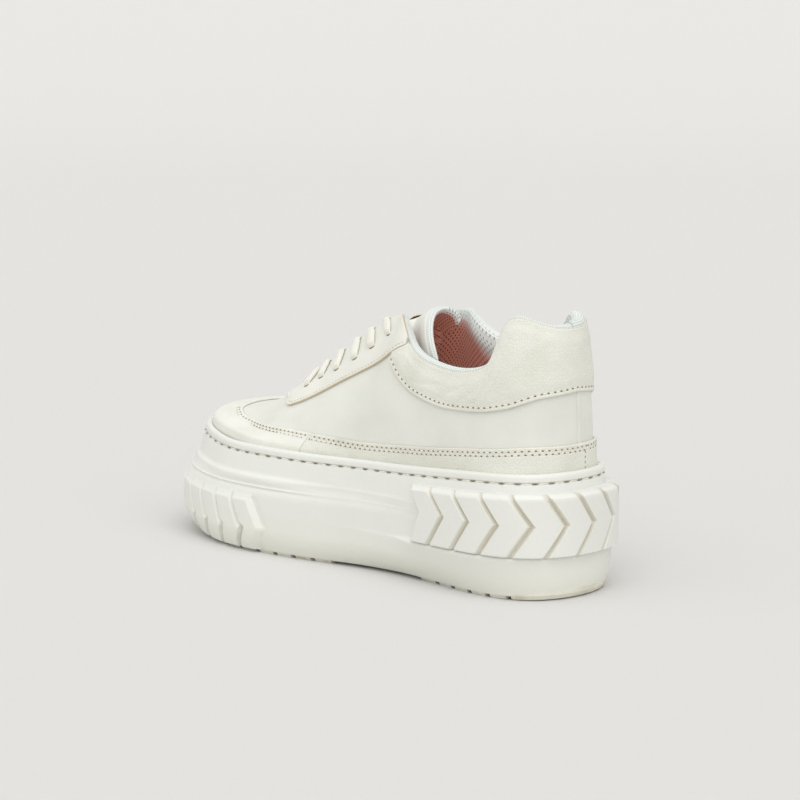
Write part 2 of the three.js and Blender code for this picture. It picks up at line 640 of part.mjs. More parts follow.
function tongueSection(s, depth) {
  const sink = (v) => -(wallAt(s, v) + TONGUE_CLEAR + depth);
  const lateral = TONGUE_FLANK.map((v) => upperAt(s, v, sink(v)));
  const medial = TONGUE_FLANK.map((v) => upperAt(FULL_TURN - s, v, sink(v))).reverse();
  const from = lateral[lateral.length - 1];
  const to = medial[0];
  const middle = BRIDGE.map((f) => {
    const point = from.clone().lerp(to, f);
    point.z += TONGUE_CROWN * 4 * f * (1 - f) * smooth(9, 8, s);
    return point;
  });
  return [...lateral, ...middle, ...medial];
}

function tongueTopSection(row, depth) {
  const count = 2 * TONGUE_FLANK.length + BRIDGE.length;
  const reach = (80 * Math.PI) / 180;
  return [...Array(count).keys()].map((k) => {
    const angle = reach * (1 - (2 * k) / (count - 1));
    const share = (1 - Math.cos(angle)) / (1 - Math.cos(reach));
    const side = angle > 0 ? 'lateral' : 'medial';
    const half = row[side].half - depth * 0.8;
    const point = new THREE.Vector3(row.x, THROAT_MIDDLE + (half * Math.sin(angle)) / Math.sin(reach), row.z);
    point.addScaledVector(TONGUE_FALL[side], row[side].fall * share);
    return point.addScaledVector(TONGUE_SINK, depth * Math.cos(angle));
  });
}

function tongue() {
  const throat = TONGUE_STATIONS.map((s) => [
    ...tongueSection(s, 0), ...tongueSection(s, TONGUE_THICK).reverse(),
  ]);
  const top = TONGUE_TOP.map((row) => [
    ...tongueTopSection(row, 0), ...tongueTopSection(row, TONGUE_THICK).reverse(),
  ]);
  return loft([...throat, ...top], { foldAt: 1 });
}
addPiece('tongue', tongue(), 0xe3e4e2, 0.5);

// Plain plate on the tongue above the lacing.
const BADGE = { length: 5.5, width: 13, thick: 1.2, x: -24, z: 129.9, slope: 37 };
function badge() {
  const plate = new THREE.BoxGeometry(BADGE.length, BADGE.width, BADGE.thick);
  plate.rotateY((BADGE.slope * Math.PI) / 180);
  return mergeVertices(plate.translate(BADGE.x, THROAT_MIDDLE, BADGE.z));
}
addPiece('tongue_badge', badge(), 0x2a2622, 0.35);

// ---------------------------------------------------------------- laces
// slant: how many stations a bar runs toward the toe between its hole and the edge of the throat.
const LACE = { width: 5.4, thick: 2.4, sides: 6, lift: 0.55, arch: -1, slant: 0.3 };
// A row per lace bar: station and share of the section where it comes out of its hole.
const LACE_HOLES = [
  { at: 5.7, v: 0.85 }, { at: 6.04, v: 0.81 }, { at: 6.38, v: 0.79 },
  { at: 6.81, v: 0.78 }, { at: 7.27, v: 0.79 }, { at: 7.67, v: 0.77 },
];

function laceBar(hole) {
  const height = GAP + OVERLAY + LACE.lift + LACE.thick / 2;
  const frames = [];
  const flank = [hole.v, (hole.v + 1) / 2, 1];
  const frameAt = (u, v) => {
    const middle = upperAt(u, v, height);
    const normal = upperAt(u, v, height + 1).sub(middle);
    const along = upperAt(u + 0.1, v, height).sub(upperAt(u - 0.1, v, height)).normalize();
    return { middle, normal, along };
  };
  const slantAt = (v) => hole.at + (LACE.slant * (v - hole.v)) / (1 - hole.v);
  const lateral = flank.map((v) => frameAt(slantAt(v), v));
  const medial = flank.map((v) => frameAt(FULL_TURN - slantAt(v), v)).reverse();
  medial.forEach((f) => f.along.negate());
  const from = lateral[lateral.length - 1];
  const to = medial[0];
  const bridge = BRIDGE.map((f) => ({
    middle: from.middle.clone().lerp(to.middle, f).add(new THREE.Vector3(0, 0, LACE.arch * 4 * f * (1 - f))),
    normal: from.normal.clone().lerp(to.normal, f).normalize(),
    along: from.along.clone().lerp(to.along, f).normalize(),
  }));
  frames.push(...lateral, ...bridge, ...medial);
  return loft(frames.map(({ middle, normal, along }) => [...Array(LACE.sides).keys()].map((k) => {
    const angle = (k / LACE.sides) * 2 * Math.PI;
    return middle.clone().addScaledVector(along, (LACE.width / 2) * Math.cos(angle))
      .addScaledVector(normal, (LACE.thick / 2) * Math.sin(angle));
  })));
}
LACE_HOLES.forEach((hole, i) => addPiece(`lace_bar_${i + 1}`, laceBar(hole), 0xeceadf, 0.85));

export default shoe;
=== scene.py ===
# Platform sneaker, left shoe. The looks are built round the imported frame, in the same place.
import math

import bmesh
import bpy
import numpy as np
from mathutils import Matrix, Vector


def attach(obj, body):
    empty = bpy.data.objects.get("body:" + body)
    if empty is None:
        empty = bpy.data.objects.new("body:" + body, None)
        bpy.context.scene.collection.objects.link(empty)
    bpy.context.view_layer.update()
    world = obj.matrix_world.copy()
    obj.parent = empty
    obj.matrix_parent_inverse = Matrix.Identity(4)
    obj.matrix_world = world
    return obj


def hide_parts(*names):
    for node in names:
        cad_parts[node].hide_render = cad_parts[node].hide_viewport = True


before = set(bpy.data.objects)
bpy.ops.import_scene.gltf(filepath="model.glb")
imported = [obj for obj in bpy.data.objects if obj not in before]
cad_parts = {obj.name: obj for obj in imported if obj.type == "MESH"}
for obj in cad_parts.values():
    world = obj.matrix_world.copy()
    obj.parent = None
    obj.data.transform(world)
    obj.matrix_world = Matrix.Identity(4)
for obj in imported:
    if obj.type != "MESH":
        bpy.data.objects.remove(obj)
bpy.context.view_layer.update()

millimetre = 0.001

# ---- form of the shoe, in millimetres: +X toe, +Y outer side, +Z up
form = {
    "cupWall": 3.1, "cupClearance": 0.5, "overlay": 1.2, "gap": 0.3, "bed": 0.4,
    "leatherAndLining": 2.2, "collarPad": 4.6, "collarRoll": 3.4, "footbedDepth": 14.5,
    "outsole": 4.6, "lastStation": 11,
}
# a column per station, heel to toe
stations = {
    "x": [-139.5, -133.5, -115, -86, -52, -18, 16, 50, 82, 112, 133, 143],
    "lateral": [0, 23.5, 37, 41, 41, 42.5, 48.5, 53, 52, 43, 25, -4],
    "medial": [0, -23.5, -35.5, -39, -38.5, -40, -46.5, -52.5, -52.5, -46.5, -30, -4],
    "top": [0, 1, 2.5, 5.8, 7.7, 9.5, 11.4, 12.7, 13.8, 14.7, 15.4, 16],
    "rise": [34, 34, 32, 24, 22, 26, 23, 18, 16, 22, 30, 32],
    "lean": [0.5, 0.5, 0.5, 0.5, 0.5, 0.5, 0.5, 0.5, 0.5, 2, 4.5, 6.8],
    "run": [5, 5, 5, 5, 7, 12, 15, 14, 14, 20, 25, 25],
    "drop": [24, 24, 22, 18, 20, 20, 20, 17, 13, 14, 19, 20.5],
}
topEdge = {
    "x": [-128, -124, -114, -107, -102.5, -95, -81, -64, -47, -37.5, -30, -18, 4, 28, 48, 60, 64],
    "z": [131.5, 133, 137, 131, 117.5, 110.5, 108, 109, 113.7, 122.5, 128.6, 128.2, 116.8, 102.2,
          89.8, 83.5, 81.5],
    "lateral": [0, 13, 22.5, 25.5, 28, 29.5, 30, 28.5, 25.8, 22.5, 17.5, 10, 9, 8.5, 7.5, 3.5, -4],
    "medial": [0, -13, -22.5, -25.5, -28, -29.5, -30, -30, -29, -26.5, -22, -15.5, -14.5, -14,
               -13.5, -10.5, -4],
    "lift": [0, -0.8, -3.6, -2.5, 0.5, 2, 3, 4, 5.5, 5, 1.5, -2.5, -3.5, -3.5, -2.5, -1, 0],
}
zones = [-139.5, -100, -62, -44, 20, 70, 110, 143]
levels = {  # name: offsets from the outline and heights, by zone
    "tread": ([-2.8, -5.5, -9, -10, -5.5, -5, -7, -14], [0.8, 0, 0, 0, 0, 0, 2.5, 11]),
    "welt": ([-0.6, -1.5, -3.5, -3.5, -1.5, -1.5, -2, -4], [8, 7, 6.5, 6.5, 6.5, 7, 9, 17]),
    "wallLow": ([0.2, 0.5, -0.2, -0.5, 0, 0, 0, -0.5], [13, 12, 12, 12, 12, 12, 13, 20]),
    "wall": ([0.6, 3.4, 2.6, 0.3, 0, 0, 0, 0], [21.5, 21.5, 21.5, 21.5, 21, 20, 22, 27]),
    "seat": ([-0.4, -0.4, -0.3, 0, 0, 0, 0, 0], [22.7, 22.7, 22.7, 22.7, 23, 23, 24.5, 29.5]),
    "wallTop": ([-0.4, -0.4, -0.4, -0.3, -0.3, -0.5, -0.6, -0.8], [33, 33, 33, 33, 32, 32, 33, 36.5]),
    "bead": ([-0.6, -0.6, -0.8, -1, -1.6, -2.5, -3, -3.5],
             [37.5, 37.5, 37.5, 37.5, 36.5, 36.5, 37.5, 40.5]),
    "band": ([-1, -1, -1.2, -1.5, -3.2, -4.5, -6.5, -7.5], [40, 40, 40, 40, 39.5, 39.5, 41, 44]),
    "groove": ([-3.2, -3.2, -3.2, -3.2, -5.2, -7.5, -9.5, -11],
               [58, 56.8, 54.5, 53.4, 51.8, 51.8, 54.3, 57.3]),
    "rim": ([-3.5, -3.5, -3.5, -3.5, -5.5, -8, -10.5, -12],
            [62.5, 61.3, 59, 57.9, 56.3, 56.3, 58.8, 61.8]),
}
last = form["lastStation"]
fullTurn = 2 * last


def lookup(places, values, x):    # smooth table, no overshoot
    places, values = np.asarray(places, float), np.asarray(values, float)
    x = np.clip(np.asarray(x, float), places[0], places[-1])
    step = np.diff(values) / np.diff(places)
    slope = np.zeros(len(places))
    slope[0], slope[-1] = step[0], step[-1]
    a, b = step[:-1], step[1:]
    both = a * b > 0
    slope[1:-1][both] = 2 * a[both] * b[both] / (a[both] + b[both])
    i = np.clip(np.searchsorted(places, x) - 1, 0, len(places) - 2)
    h = places[i + 1] - places[i]
    f = (x - places[i]) / h
    return (values[i] * (1 + 2 * f) * (1 - f) ** 2 + values[i + 1] * f * f * (3 - 2 * f)
            + h * (slope[i] * f * (1 - f) ** 2 - slope[i + 1] * f * f * (1 - f)))


def smoothStep(a, b, x):
    f = np.clip((np.asarray(x, float) - a) / (b - a), 0, 1)
    return f * f * (3 - 2 * f)


def hump(x, middle, width):
    return np.exp(-((x - middle) / width) ** 2)


class Loop:    # closed cubic spline through its points
    def __init__(self, points):
        points = np.asarray(points, float)
        control = points.copy()
        for _ in range(40):
            control = (6 * points - np.roll(control, 1, 0) - np.roll(control, -1, 0)) / 4
        self.control = control

    def at(self, place):
        count = len(self.control)
        wrapped = np.mod(place, count)
        i = np.floor(wrapped).astype(int)
        f = (wrapped - i)[..., None]
        weights = [(1 - f) ** 3, 3 * f ** 3 - 6 * f ** 2 + 4, -3 * f ** 3 + 3 * f ** 2 + 3 * f + 1, f ** 3]
        return sum(w * self.control[(i + k - 1) % count] for k, w in enumerate(weights)) / 6


def loopFrom(rows):
    x, z = np.array(rows["x"], float), np.array(rows.get("z", [0] * len(rows["x"])), float)
    lift = np.array(rows.get("lift", [0] * len(x)), float)
    outer = np.stack([x, np.array(rows["lateral"], float), z], -1)
    inner = np.stack([x, np.array(rows["medial"], float), z + lift], -1)[1:-1][::-1]
    return Loop(np.concatenate([outer, inner]))


outline = loopFrom(stations)
topLoop = loopFrom(topEdge)


def fold(u):
    u = np.mod(u, fullTurn)
    return np.where(u <= last, u, fullTurn - u)


def stationValue(column, s):
    return lookup(np.arange(last + 1), stations[column], s)


def outward(u):
    along = outline.at(np.asarray(u) + 0.01) - outline.at(np.asarray(u) - 0.01)
    along /= np.linalg.norm(along, axis=-1, keepdims=True)
    return np.stack([-along[..., 1], along[..., 0], np.zeros_like(along[..., 0])], -1)


def outlinePoint(u, offset=0.0, height=0.0):
    u = np.asarray(u, float)
    point = outline.at(u) + outward(u) * np.broadcast_to(offset, u.shape)[..., None]
    point[..., 2] = height
    return point


def levelAt(name, u):    # offset and height of a level of the sole at u
    x = outline.at(np.asarray(u, float))[..., 0]
    offsets, heights = levels[name]
    return lookup(zones, offsets, x), lookup(zones, heights, x)


featherOffset = -(form["cupWall"] + form["cupClearance"] + form["overlay"] + form["gap"])


def footbedHeight(u):
    return levelAt("rim", u)[1] - form["footbedDepth"]


def upperPoint(u, v):    # the upper's skin: v 0 at the sole, 1 at the top edge
    u, v = np.broadcast_arrays(np.mod(np.asarray(u, float), fullTurn), np.asarray(v, float))
    s = fold(u)
    feather = outlinePoint(u, levelAt("rim", u)[0] + featherOffset, footbedHeight(u) + form["gap"])
    row = stationValue("top", s)
    top = topLoop.at(np.where(u <= last, row, 2 * (len(topEdge["x"]) - 1) - row))
    out = outward(u)
    low = feather + out * stationValue("lean", s)[..., None]
    low[..., 2] += stationValue("rise", s)
    kept = np.where(u > last, lookup([0, 3, 5, 8, last], [1, 0.3, 0.3, 0.85, 1], s), 1)
    high = top + out * (kept * stationValue("run", s))[..., None]
    high[..., 2] -= stationValue("drop", s)
    v = v[..., None]
    return feather * (1 - v) ** 3 + 3 * low * v * (1 - v) ** 2 + 3 * high * v * v * (1 - v) + top * v ** 3


def upperAt(u, v, offset=0.0):    # moved out along the surface normal
    u, v = np.broadcast_arrays(np.asarray(u, float), np.asarray(v, float))
    along = upperPoint(u + 0.02, v) - upperPoint(u - 0.02, v)
    up = upperPoint(u, np.minimum(v + 0.01, 1)) - upperPoint(u, np.maximum(v - 0.01, 0))
    normal = np.cross(up, along)
    normal /= np.linalg.norm(normal, axis=-1, keepdims=True)
    return upperPoint(u, v) + normal * np.broadcast_to(offset, u.shape)[..., None]


def sectionScale(u, v):    # millimetres of section for one unit of v
    a, b = np.minimum(v + 0.01, 1), np.maximum(v - 0.01, 0)
    return np.linalg.norm(upperPoint(u, a) - upperPoint(u, b), axis=-1) / (a - b)


def padShare(u):
    return lookup([0, 4.6, 5.3, last], [1, 1, 0, 0], fold(u))


def wallAt(u, v):
    return form["leatherAndLining"] + form["collarPad"] * padShare(u) * smoothStep(0.45, 0.9, v)


def shareAt(edge, u):    # share of the section where the skin reaches the height in a table
    u = np.asarray(u, float)
    height = lookup(edge["at"], edge["z"], fold(u))
    low, high = np.zeros_like(u), np.ones_like(u)
    for _ in range(20):
        middle = (low + high) / 2
        below = upperPoint(u, middle)[..., 2] < height
        low, high = np.where(below, middle, low), np.where(below, high, middle)
    return low


def runAlongPath(path):    # length from the first point to each
    return np.concatenate([[0], np.cumsum(np.linalg.norm(np.diff(path, axis=0), axis=1))])


# length along the outline, from the back of the heel
finePlaces = np.linspace(0, fullTurn, 4401)
fineLengths = runAlongPath(outline.at(finePlaces))
perimeter = fineLengths[-1]
toeLength = np.interp(last, finePlaces, fineLengths)


def placeAtArc(arc):
    return np.interp(np.mod(-np.asarray(arc, float), perimeter), fineLengths, finePlaces)


def lengthAt(u):
    return np.interp(np.mod(u, fullTurn), finePlaces, fineLengths)


def columnsAlong(spacing):    # places round the shoe, mirrored, with the given spacing in mm
    arcs = [0.0]
    while arcs[-1] < toeLength:
        arcs.append(arcs[-1] + float(spacing(arcs[-1])))
    half = np.interp(np.array(arcs) * toeLength / arcs[-1], fineLengths, finePlaces)
    half[-1] = last
    return np.concatenate([half, (fullTurn - half[1:-1])[::-1]])


print("form ready, sole", round(perimeter), "mm round")


# ---- meshes
def rounded(knots):    # (offset, height, radius, steps after it) arrays to rows with soft corners
    base = np.zeros_like(knots[0][1] * 1.0)
    spots = [np.stack([k[0] + base, k[1] + base], -1) for k in knots]
    rows = [spots[0]]
    for i in range(1, len(knots)):
        leave = rows[-1]
        steps = knots[i - 1][3]
        if i == len(knots) - 1:
            rows += [leave + (spots[i] - leave) * (k / steps) for k in range(1, steps + 1)]
            break
        before, after = spots[i - 1] - spots[i], spots[i + 1] - spots[i]
        lengthIn = np.linalg.norm(before, axis=-1, keepdims=True) + 1e-6
        lengthOut = np.linalg.norm(after, axis=-1, keepdims=True) + 1e-6
        radius = np.broadcast_to(np.asarray(knots[i][2], float), base.shape)[..., None]
        reach = np.minimum(radius, 0.46 * np.minimum(lengthIn, lengthOut))
        start, end = spots[i] + before / lengthIn * reach, spots[i] + after / lengthOut * reach
        rows += [leave + (start - leave) * (k / steps) for k in range(1, steps + 1)]
        bend = 4
        for k in range(1, bend + 1):
            f = k / bend
            rows.append(start * (1 - f) ** 2 + 2 * spots[i] * f * (1 - f) + end * f * f)
    return rows


def ringFaces(rows, count, closed=False):
    i = np.arange(count)
    j = np.arange(rows - 1)[:, None]
    a, b = j * count + i, j * count + (i + 1) % count
    faces = np.stack([a, b, b + count, a + count], -1).reshape(-1, 4).tolist()
    if closed:    # the last row joins the first
        bottom = (rows - 1) * count
        faces += [[bottom + k, bottom + (k + 1) % count, (k + 1) % count, k] for k in range(count)]
    return faces


def ladderFaces(first, count):    # closes a mirrored ring straight across
    faces = []
    for i in range(count // 2):
        corners = [i, i + 1, (count - i - 1) % count, (count - i) % count]
        faces.append([first + c for c in dict.fromkeys(corners)])
    return faces


def loftFaces(sections, size):    # sections of an outer and a back row, closed at both ends
    faces = ringFaces(sections, size)
    for at in (0, (sections - 1) * size):
        for k in range(size // 2 - 1):
            faces.append([at + k, at + k + 1, at + size - 2 - k, at + size - 1 - k])
    return faces


def makePiece(name, points, faces, finishes, lay=None, sharp=None, finishOf=None, slot=None, node=()):
    mesh = bpy.data.meshes.new(name)
    mesh.from_pydata((np.asarray(points).reshape(-1, 3) * millimetre).tolist(), [], faces)
    if lay is not None:    # millimetres along, millimetres across and a mask, for the finishes
        attribute = mesh.attributes.new("lay", "FLOAT_VECTOR", "POINT")
        attribute.data.foreach_set("vector", np.asarray(lay, float).reshape(-1).astype(np.float32))
    for finish in finishes:
        mesh.materials.append(finish)
    if finishOf is not None:
        mesh.polygons.foreach_set("material_index", np.asarray(finishOf, np.int32))
    work = bmesh.new()
    work.from_mesh(mesh)
    bmesh.ops.recalc_face_normals(work, faces=work.faces)
    work.to_mesh(mesh)
    work.free()
    mesh.polygons.foreach_set("use_smooth", [True] * len(mesh.polygons))
    if sharp is not None:
        mesh.set_sharp_from_angle(angle=math.radians(sharp))
    mesh.update()
    made = bpy.data.objects.new(name, mesh)
    bpy.context.scene.collection.objects.link(made)
    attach(made, "root")
    if node:
        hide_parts(*node)
    return made


# ---- finishes
class Field:    # a shader socket that takes part in sums
    def __init__(self, finish, socket):
        self.finish, self.socket = finish, socket

    def maths(self, operation, *values):
        return self.finish.node("ShaderNodeMath", {"operation": operation}, dict(enumerate(values)))

    def wave(self, pitch, operation="SINE"):    # pitch in millimetres
        turned = self * (2 * math.pi / pitch)
        return turned.maths(operation, turned)

    def __add__(self, other):
        return self.maths("ADD", self, other)

    def __sub__(self, other):
        return self.maths("SUBTRACT", self, other)

    def __rsub__(self, other):
        return self.maths("SUBTRACT", other, self)

    def __mul__(self, other):
        return self.maths("MULTIPLY", self, other)

    __radd__ = __add__
    __rmul__ = __mul__


class Finish:
    def __init__(self, name, rough=0.5, **uniform):
        self.material = bpy.data.materials.new(name)
        self.material.use_nodes = True
        self.tree = self.material.node_tree
        self.shader = self.tree.nodes["Principled BSDF"]
        self.shader.inputs["Roughness"].default_value = rough
        for key, value in uniform.items():
            self.shader.inputs[key.replace("_", " ")].default_value = value

    def node(self, kind, settings=None, sockets=None, out=0):
        made = self.tree.nodes.new(kind)
        for key, value in (settings or {}).items():
            setattr(made, key, value)
        for key, value in (sockets or {}).items():
            if isinstance(value, Field):
                self.tree.links.new(value.socket, made.inputs[key])
            else:
                made.inputs[key].default_value = value
        return Field(self, made.outputs[out])

    def place(self):
        return self.node("ShaderNodeTexCoord", out="Object")

    def lay(self):    # along, across, mask
        whole = self.node("ShaderNodeAttribute", {"attribute_name": "lay"}, out="Vector")
        return [self.node("ShaderNodeSeparateXYZ", None, {0: whole}, out=k) for k in range(3)]

    def noise(self, size, detail=3.0, rough=0.5, stretch=None):    # size in millimetres
        at = self.place()
        if stretch:
            at = self.node("ShaderNodeVectorMath", {"operation": "MULTIPLY"}, {0: at, 1: stretch})
        return self.node("ShaderNodeTexNoise", None, {
            "Vector": at, "Scale": 1000 / size, "Detail": detail, "Roughness": rough})

    def cells(self, size, feature="F1"):
        return self.node("ShaderNodeTexVoronoi", {"feature": feature}, {
            "Vector": self.place(), "Scale": 1000 / size}, out="Distance")

    def ramp(self, value, low, high, a=0.0, b=1.0):
        return self.node("ShaderNodeMapRange", {"interpolation_type": "SMOOTHSTEP"}, {
            "Value": value, "From Min": low, "From Max": high, "To Min": a, "To Max": b})

    def mix(self, factor, a, b):
        return self.node("ShaderNodeMix", {"data_type": "RGBA"}, {0: factor, 6: a, 7: b}, out=2)

    def feed(self, name, value):
        self.tree.links.new(value.socket, self.shader.inputs[name])

    def color(self, value):
        self.feed("Base Color", value)

    def roughness(self, value):
        self.feed("Roughness", value)

    def bump(self, height, depth):    # depth in millimetres
        normal = self.node("ShaderNodeBump", None, {
            "Height": height, "Strength": 1.0, "Distance": depth * millimetre})
        self.feed("Normal", normal)


def tone(red, green, blue):    # screen colour, 0 to 255, to a linear one
    def linear(c):
        c /= 255
        return c / 12.92 if c <= 0.04045 else ((c + 0.055) / 1.055) ** 2.4
    return (linear(red), linear(green), linear(blue), 1.0)


def soleFinish():
    look = {"main": tone(229, 230, 224), "low": tone(231, 230, 217), "shade": tone(222, 223, 216),
            "groove": tone(206, 199, 176), "speck": tone(176, 170, 150),
            "warmBelow": 0.016, "grain": 0.35, "grainDepth": 0.02, "rough": 0.52}
    f = Finish("moulded sole rubber", look["rough"])
    height = f.node("ShaderNodeSeparateXYZ", None, {0: f.place()}, out=2)
    cloudy = f.ramp(f.noise(26, 4), 0.35, 0.7)
    warm = f.ramp(height, look["warmBelow"] + 0.012, look["warmBelow"] - 0.010)
    base = f.mix(cloudy * 0.35, look["main"], look["shade"])
    base = f.mix(warm * 0.5, base, look["low"])
    # painted shade: the heel band's grooves take the darker groove colour, from the lay mask
    base = f.mix(f.lay()[2], base, look["groove"])
    specks = f.ramp(f.noise(1.7, 1), 0.74, 0.79)
    f.color(f.mix(specks * 0.10, base, look["speck"]))
    f.roughness(f.ramp(f.noise(7, 3), 0.3, 0.7, look["rough"] - 0.07, look["rough"] + 0.07))
    f.bump(f.noise(look["grain"], 3, 0.6) + f.noise(2.4, 2) * 0.6, look["grainDepth"])
    return f.material


def outsoleFinish():
    look = {"main": tone(228, 226, 212), "worn": tone(206, 201, 184), "rough": 0.62}
    f = Finish("outsole rubber", look["rough"])
    f.color(f.mix(f.ramp(f.noise(14, 4), 0.42, 0.75), look["main"], look["worn"]))
    f.bump(f.noise(0.4, 3) + f.noise(3, 2), 0.04)
    return f.material


def smoothLeatherFinish():
    look = {"main": tone(229, 230, 222), "deep": tone(221, 222, 213), "rough": 0.5, "depth": 0.035}
    f = Finish("smooth leather", look["rough"], Coat_Weight=0.06, Coat_Roughness=0.45)
    f.color(f.mix(f.ramp(f.noise(34, 4), 0.3, 0.75), look["main"], look["deep"]))
    pores = f.cells(0.55)
    f.roughness(f.ramp(f.noise(9, 3), 0.3, 0.7, look["rough"] - 0.06, look["rough"] + 0.06))
    f.bump(pores * 0.5 + f.noise(0.9, 3) * 0.7 + f.noise(5, 2) * 0.8, look["depth"])
    return f.material


def tumbledLeatherFinish():
    look = {"main": tone(233, 233, 223), "deep": tone(222, 222, 210), "edge": tone(226, 205, 166),
            "valleyShade": tone(205, 204, 190), "pebble": 1.4, "depth": 0.15}
    f = Finish("tumbled leather", 0.5, Coat_Weight=0.05, Coat_Roughness=0.4)
    edge = f.lay()[2]
    pebbles = f.ramp(f.cells(look["pebble"], "DISTANCE_TO_EDGE"), 0.0, 0.22)
    wrinkle = f.noise(6.5, 3, 0.5, (0.5, 1.0, 1.2)) * 1.5 + f.noise(2.0, 3, 0.6, (0.55, 1.0, 1.5)) * 1.3
    base = f.mix(f.ramp(f.noise(22, 4), 0.3, 0.75), look["main"], look["deep"])
    # painted shade in the valleys between the pebbles
    base = f.mix((1 - pebbles) * 0.16, base, look["valleyShade"])
    # painted shade: the cut edges take the tan edge colour, from the lay mask
    f.color(f.mix(f.ramp(edge, 0.35, 0.8), base, look["edge"]))
    f.roughness(f.ramp(pebbles, 0.0, 1.0, 0.58, 0.46))
    f.bump(pebbles * 0.6 + wrinkle + f.noise(0.6, 2) * 0.15, look["depth"])
    return f.material


def plainLeatherFinish():
    look = {"main": tone(235, 235, 227), "deep": tone(228, 228, 218), "edge": tone(206, 186, 142),
            "depth": 0.035}
    f = Finish("smooth overlay leather", 0.46, Coat_Weight=0.08, Coat_Roughness=0.35)
    edge = f.lay()[2]
    base = f.mix(f.ramp(f.noise(20, 3), 0.3, 0.7), look["main"], look["deep"])
    # painted shade: the cut edges take the tan edge colour, from the lay mask
    f.color(f.mix(f.ramp(edge, 0.35, 0.8), base, look["edge"]))
    f.bump(f.cells(0.6) * 0.4 + f.noise(2.5, 3) * 0.8, look["depth"])
    return f.material


def meshFinish(name, pale, paleShaded, deep, deepShaded, turn):    # knitted mesh, dots in a rhombic lattice
    look = {"across": 2.6, "down": 3.3, "knit": 2.1, "depth": 0.3, "through": 0.1}
    f = Finish(name, 0.85, Sheen_Weight=0.25)
    along, down, mask = f.lay()
    lattice = along.wave(look["across"], "COSINE") * down.wave(look["down"], "COSINE")
    dots = f.ramp(lattice, 0.25, 0.8) * f.ramp(mask, -0.72, -0.35, 0.05, 1.0)
    inner = f.ramp(mask + f.noise(7, 2) * 0.12, turn[0], turn[1])
    knit = (along + down).wave(look["knit"]) * (along - down).wave(look["knit"])
    knot = f.ramp(knit, -0.8, 0.5, 1.0, 0.0)
    rim = f.ramp(mask, -0.9, -0.5, 1.0, 0.0)    # the rolled edge shows its knit instead of holes
    # painted shade: the knit gaps and the holes between the dots take darker copies of the cloth's colours
    cloth = f.mix(inner, f.mix(knot * (0.3 + rim * 0.3), pale, paleShaded), deep)
    hole = f.mix(inner, paleShaded, deepShaded)
    color = f.mix(dots, cloth, hole)
    f.color(color)
    # painted glow: the mesh emits its own colour, more strongly down inside, standing in for light that comes
    # through the open mesh
    f.feed("Emission Color", f.mix(f.ramp(mask, -0.6, 0.05), (0, 0, 0, 1), color))
    f.shader.inputs["Emission Strength"].default_value = look["through"]
    f.bump((1 - dots) * 0.8 - knot * 0.5, look["depth"])
    return f.material


def laceFinish():
    look = {"main": tone(246, 245, 237), "deep": tone(232, 229, 214), "end": tone(150, 138, 112),
            "strand": 1.35, "depth": 0.09}
    f = Finish("woven lace", 0.8, Sheen_Weight=0.3)
    along, across, mask = f.lay()
    weave = f.ramp((along + across).wave(look["strand"]) * (along - across).wave(look["strand"]), -0.7, 0.6)
    base = f.mix(weave, look["deep"], look["main"])
    # painted shade at the lace's ends, where it goes into its hole
    f.color(f.mix(mask, base, look["end"]))
    f.bump(weave + f.noise(0.4, 2) * 0.3, look["depth"])
    return f.material


def softFinish(name, rough, patch, first, second, grain=None, **uniform):    # two tones in soft patches
    f = Finish(name, rough, **uniform)
    f.color(f.mix(f.ramp(f.noise(patch, 2), 0.3, 0.7), first, second))
    if grain:
        size, depth = grain
        f.bump(f.noise(size, 2), depth)
    return f.material


def insoleFinish():
    look = {"main": tone(150, 84, 66), "deep": tone(120, 62, 50), "weave": 0.8, "depth": 0.1}
    f = Finish("insole cloth", 0.9, Sheen_Weight=0.2)
    weave = f.cells(look["weave"])
    f.color(f.mix(weave, look["main"], look["deep"]))
    f.bump(weave, look["depth"])
    return f.material


soleLook, outsoleLook = soleFinish(), outsoleFinish()
smoothLook, tumbledLook, plainLook = smoothLeatherFinish(), tumbledLeatherFinish(), plainLeatherFinish()
# the second tone of each pair is the cloth in painted shade
paleMesh = (tone(238, 243, 239), tone(158, 168, 163))
terracotta = (tone(212, 142, 122), tone(112, 62, 50))
liningLook = meshFinish("collar lining mesh", *paleMesh, *terracotta, (0.34, 0.7))
tongueLiningLook = meshFinish("tongue lining mesh", *paleMesh, *terracotta, (0.2, 0.4))
laceLook, insoleLook = laceFinish(), insoleFinish()
threadLook = softFinish("stitching thread", 0.6, 1.5, tone(240, 238, 228), tone(222, 217, 200),
                        (0.25, 0.05), Sheen_Weight=0.2)
# painted shadow: the dark colour of the needle holes and the lace holes
holeShadowLook = softFinish("needle holes", 0.9, 2, tone(146, 132, 96), tone(118, 106, 76))
# the turned edge line is darker: partly its own colour, partly painted shadow in the join
edgeLineShadeLook = softFinish("turned edge", 0.7, 2, tone(196, 195, 172), tone(176, 176, 152))
slitLook = softFinish("shadow in the groove", 0.95, 2, tone(140, 131, 106), tone(112, 103, 80))
badgeLook = softFinish("dark enamel", 0.3, 3, tone(30, 26, 22), tone(44, 38, 32),
                       (1.2, 0.02), Coat_Weight=0.4)
goldLook = softFinish("gilt edge", 0.3, 3, tone(214, 178, 120), tone(190, 150, 92),
                      (0.8, 0.02), Metallic=1.0)
print("finishes ready")


# ---- sole
cup = {"toeReach": 128, "toeSpacing": 0.5, "spacing": 1.7, "footRows": 9,
       "lugPitch": 14.35, "lugShift": 0.6, "lugRise": 3.0, "lugSunk": 0.8, "lugEnd": 123.5, "lugBevel": 5,
       "flank": 2.5, "cut": 0.5, "lugTop": 32.6, "topBevel": 3.4, "knee": 15, "kneeLean": 6.5,
       "footLean": 3, "endLean": 0.45}


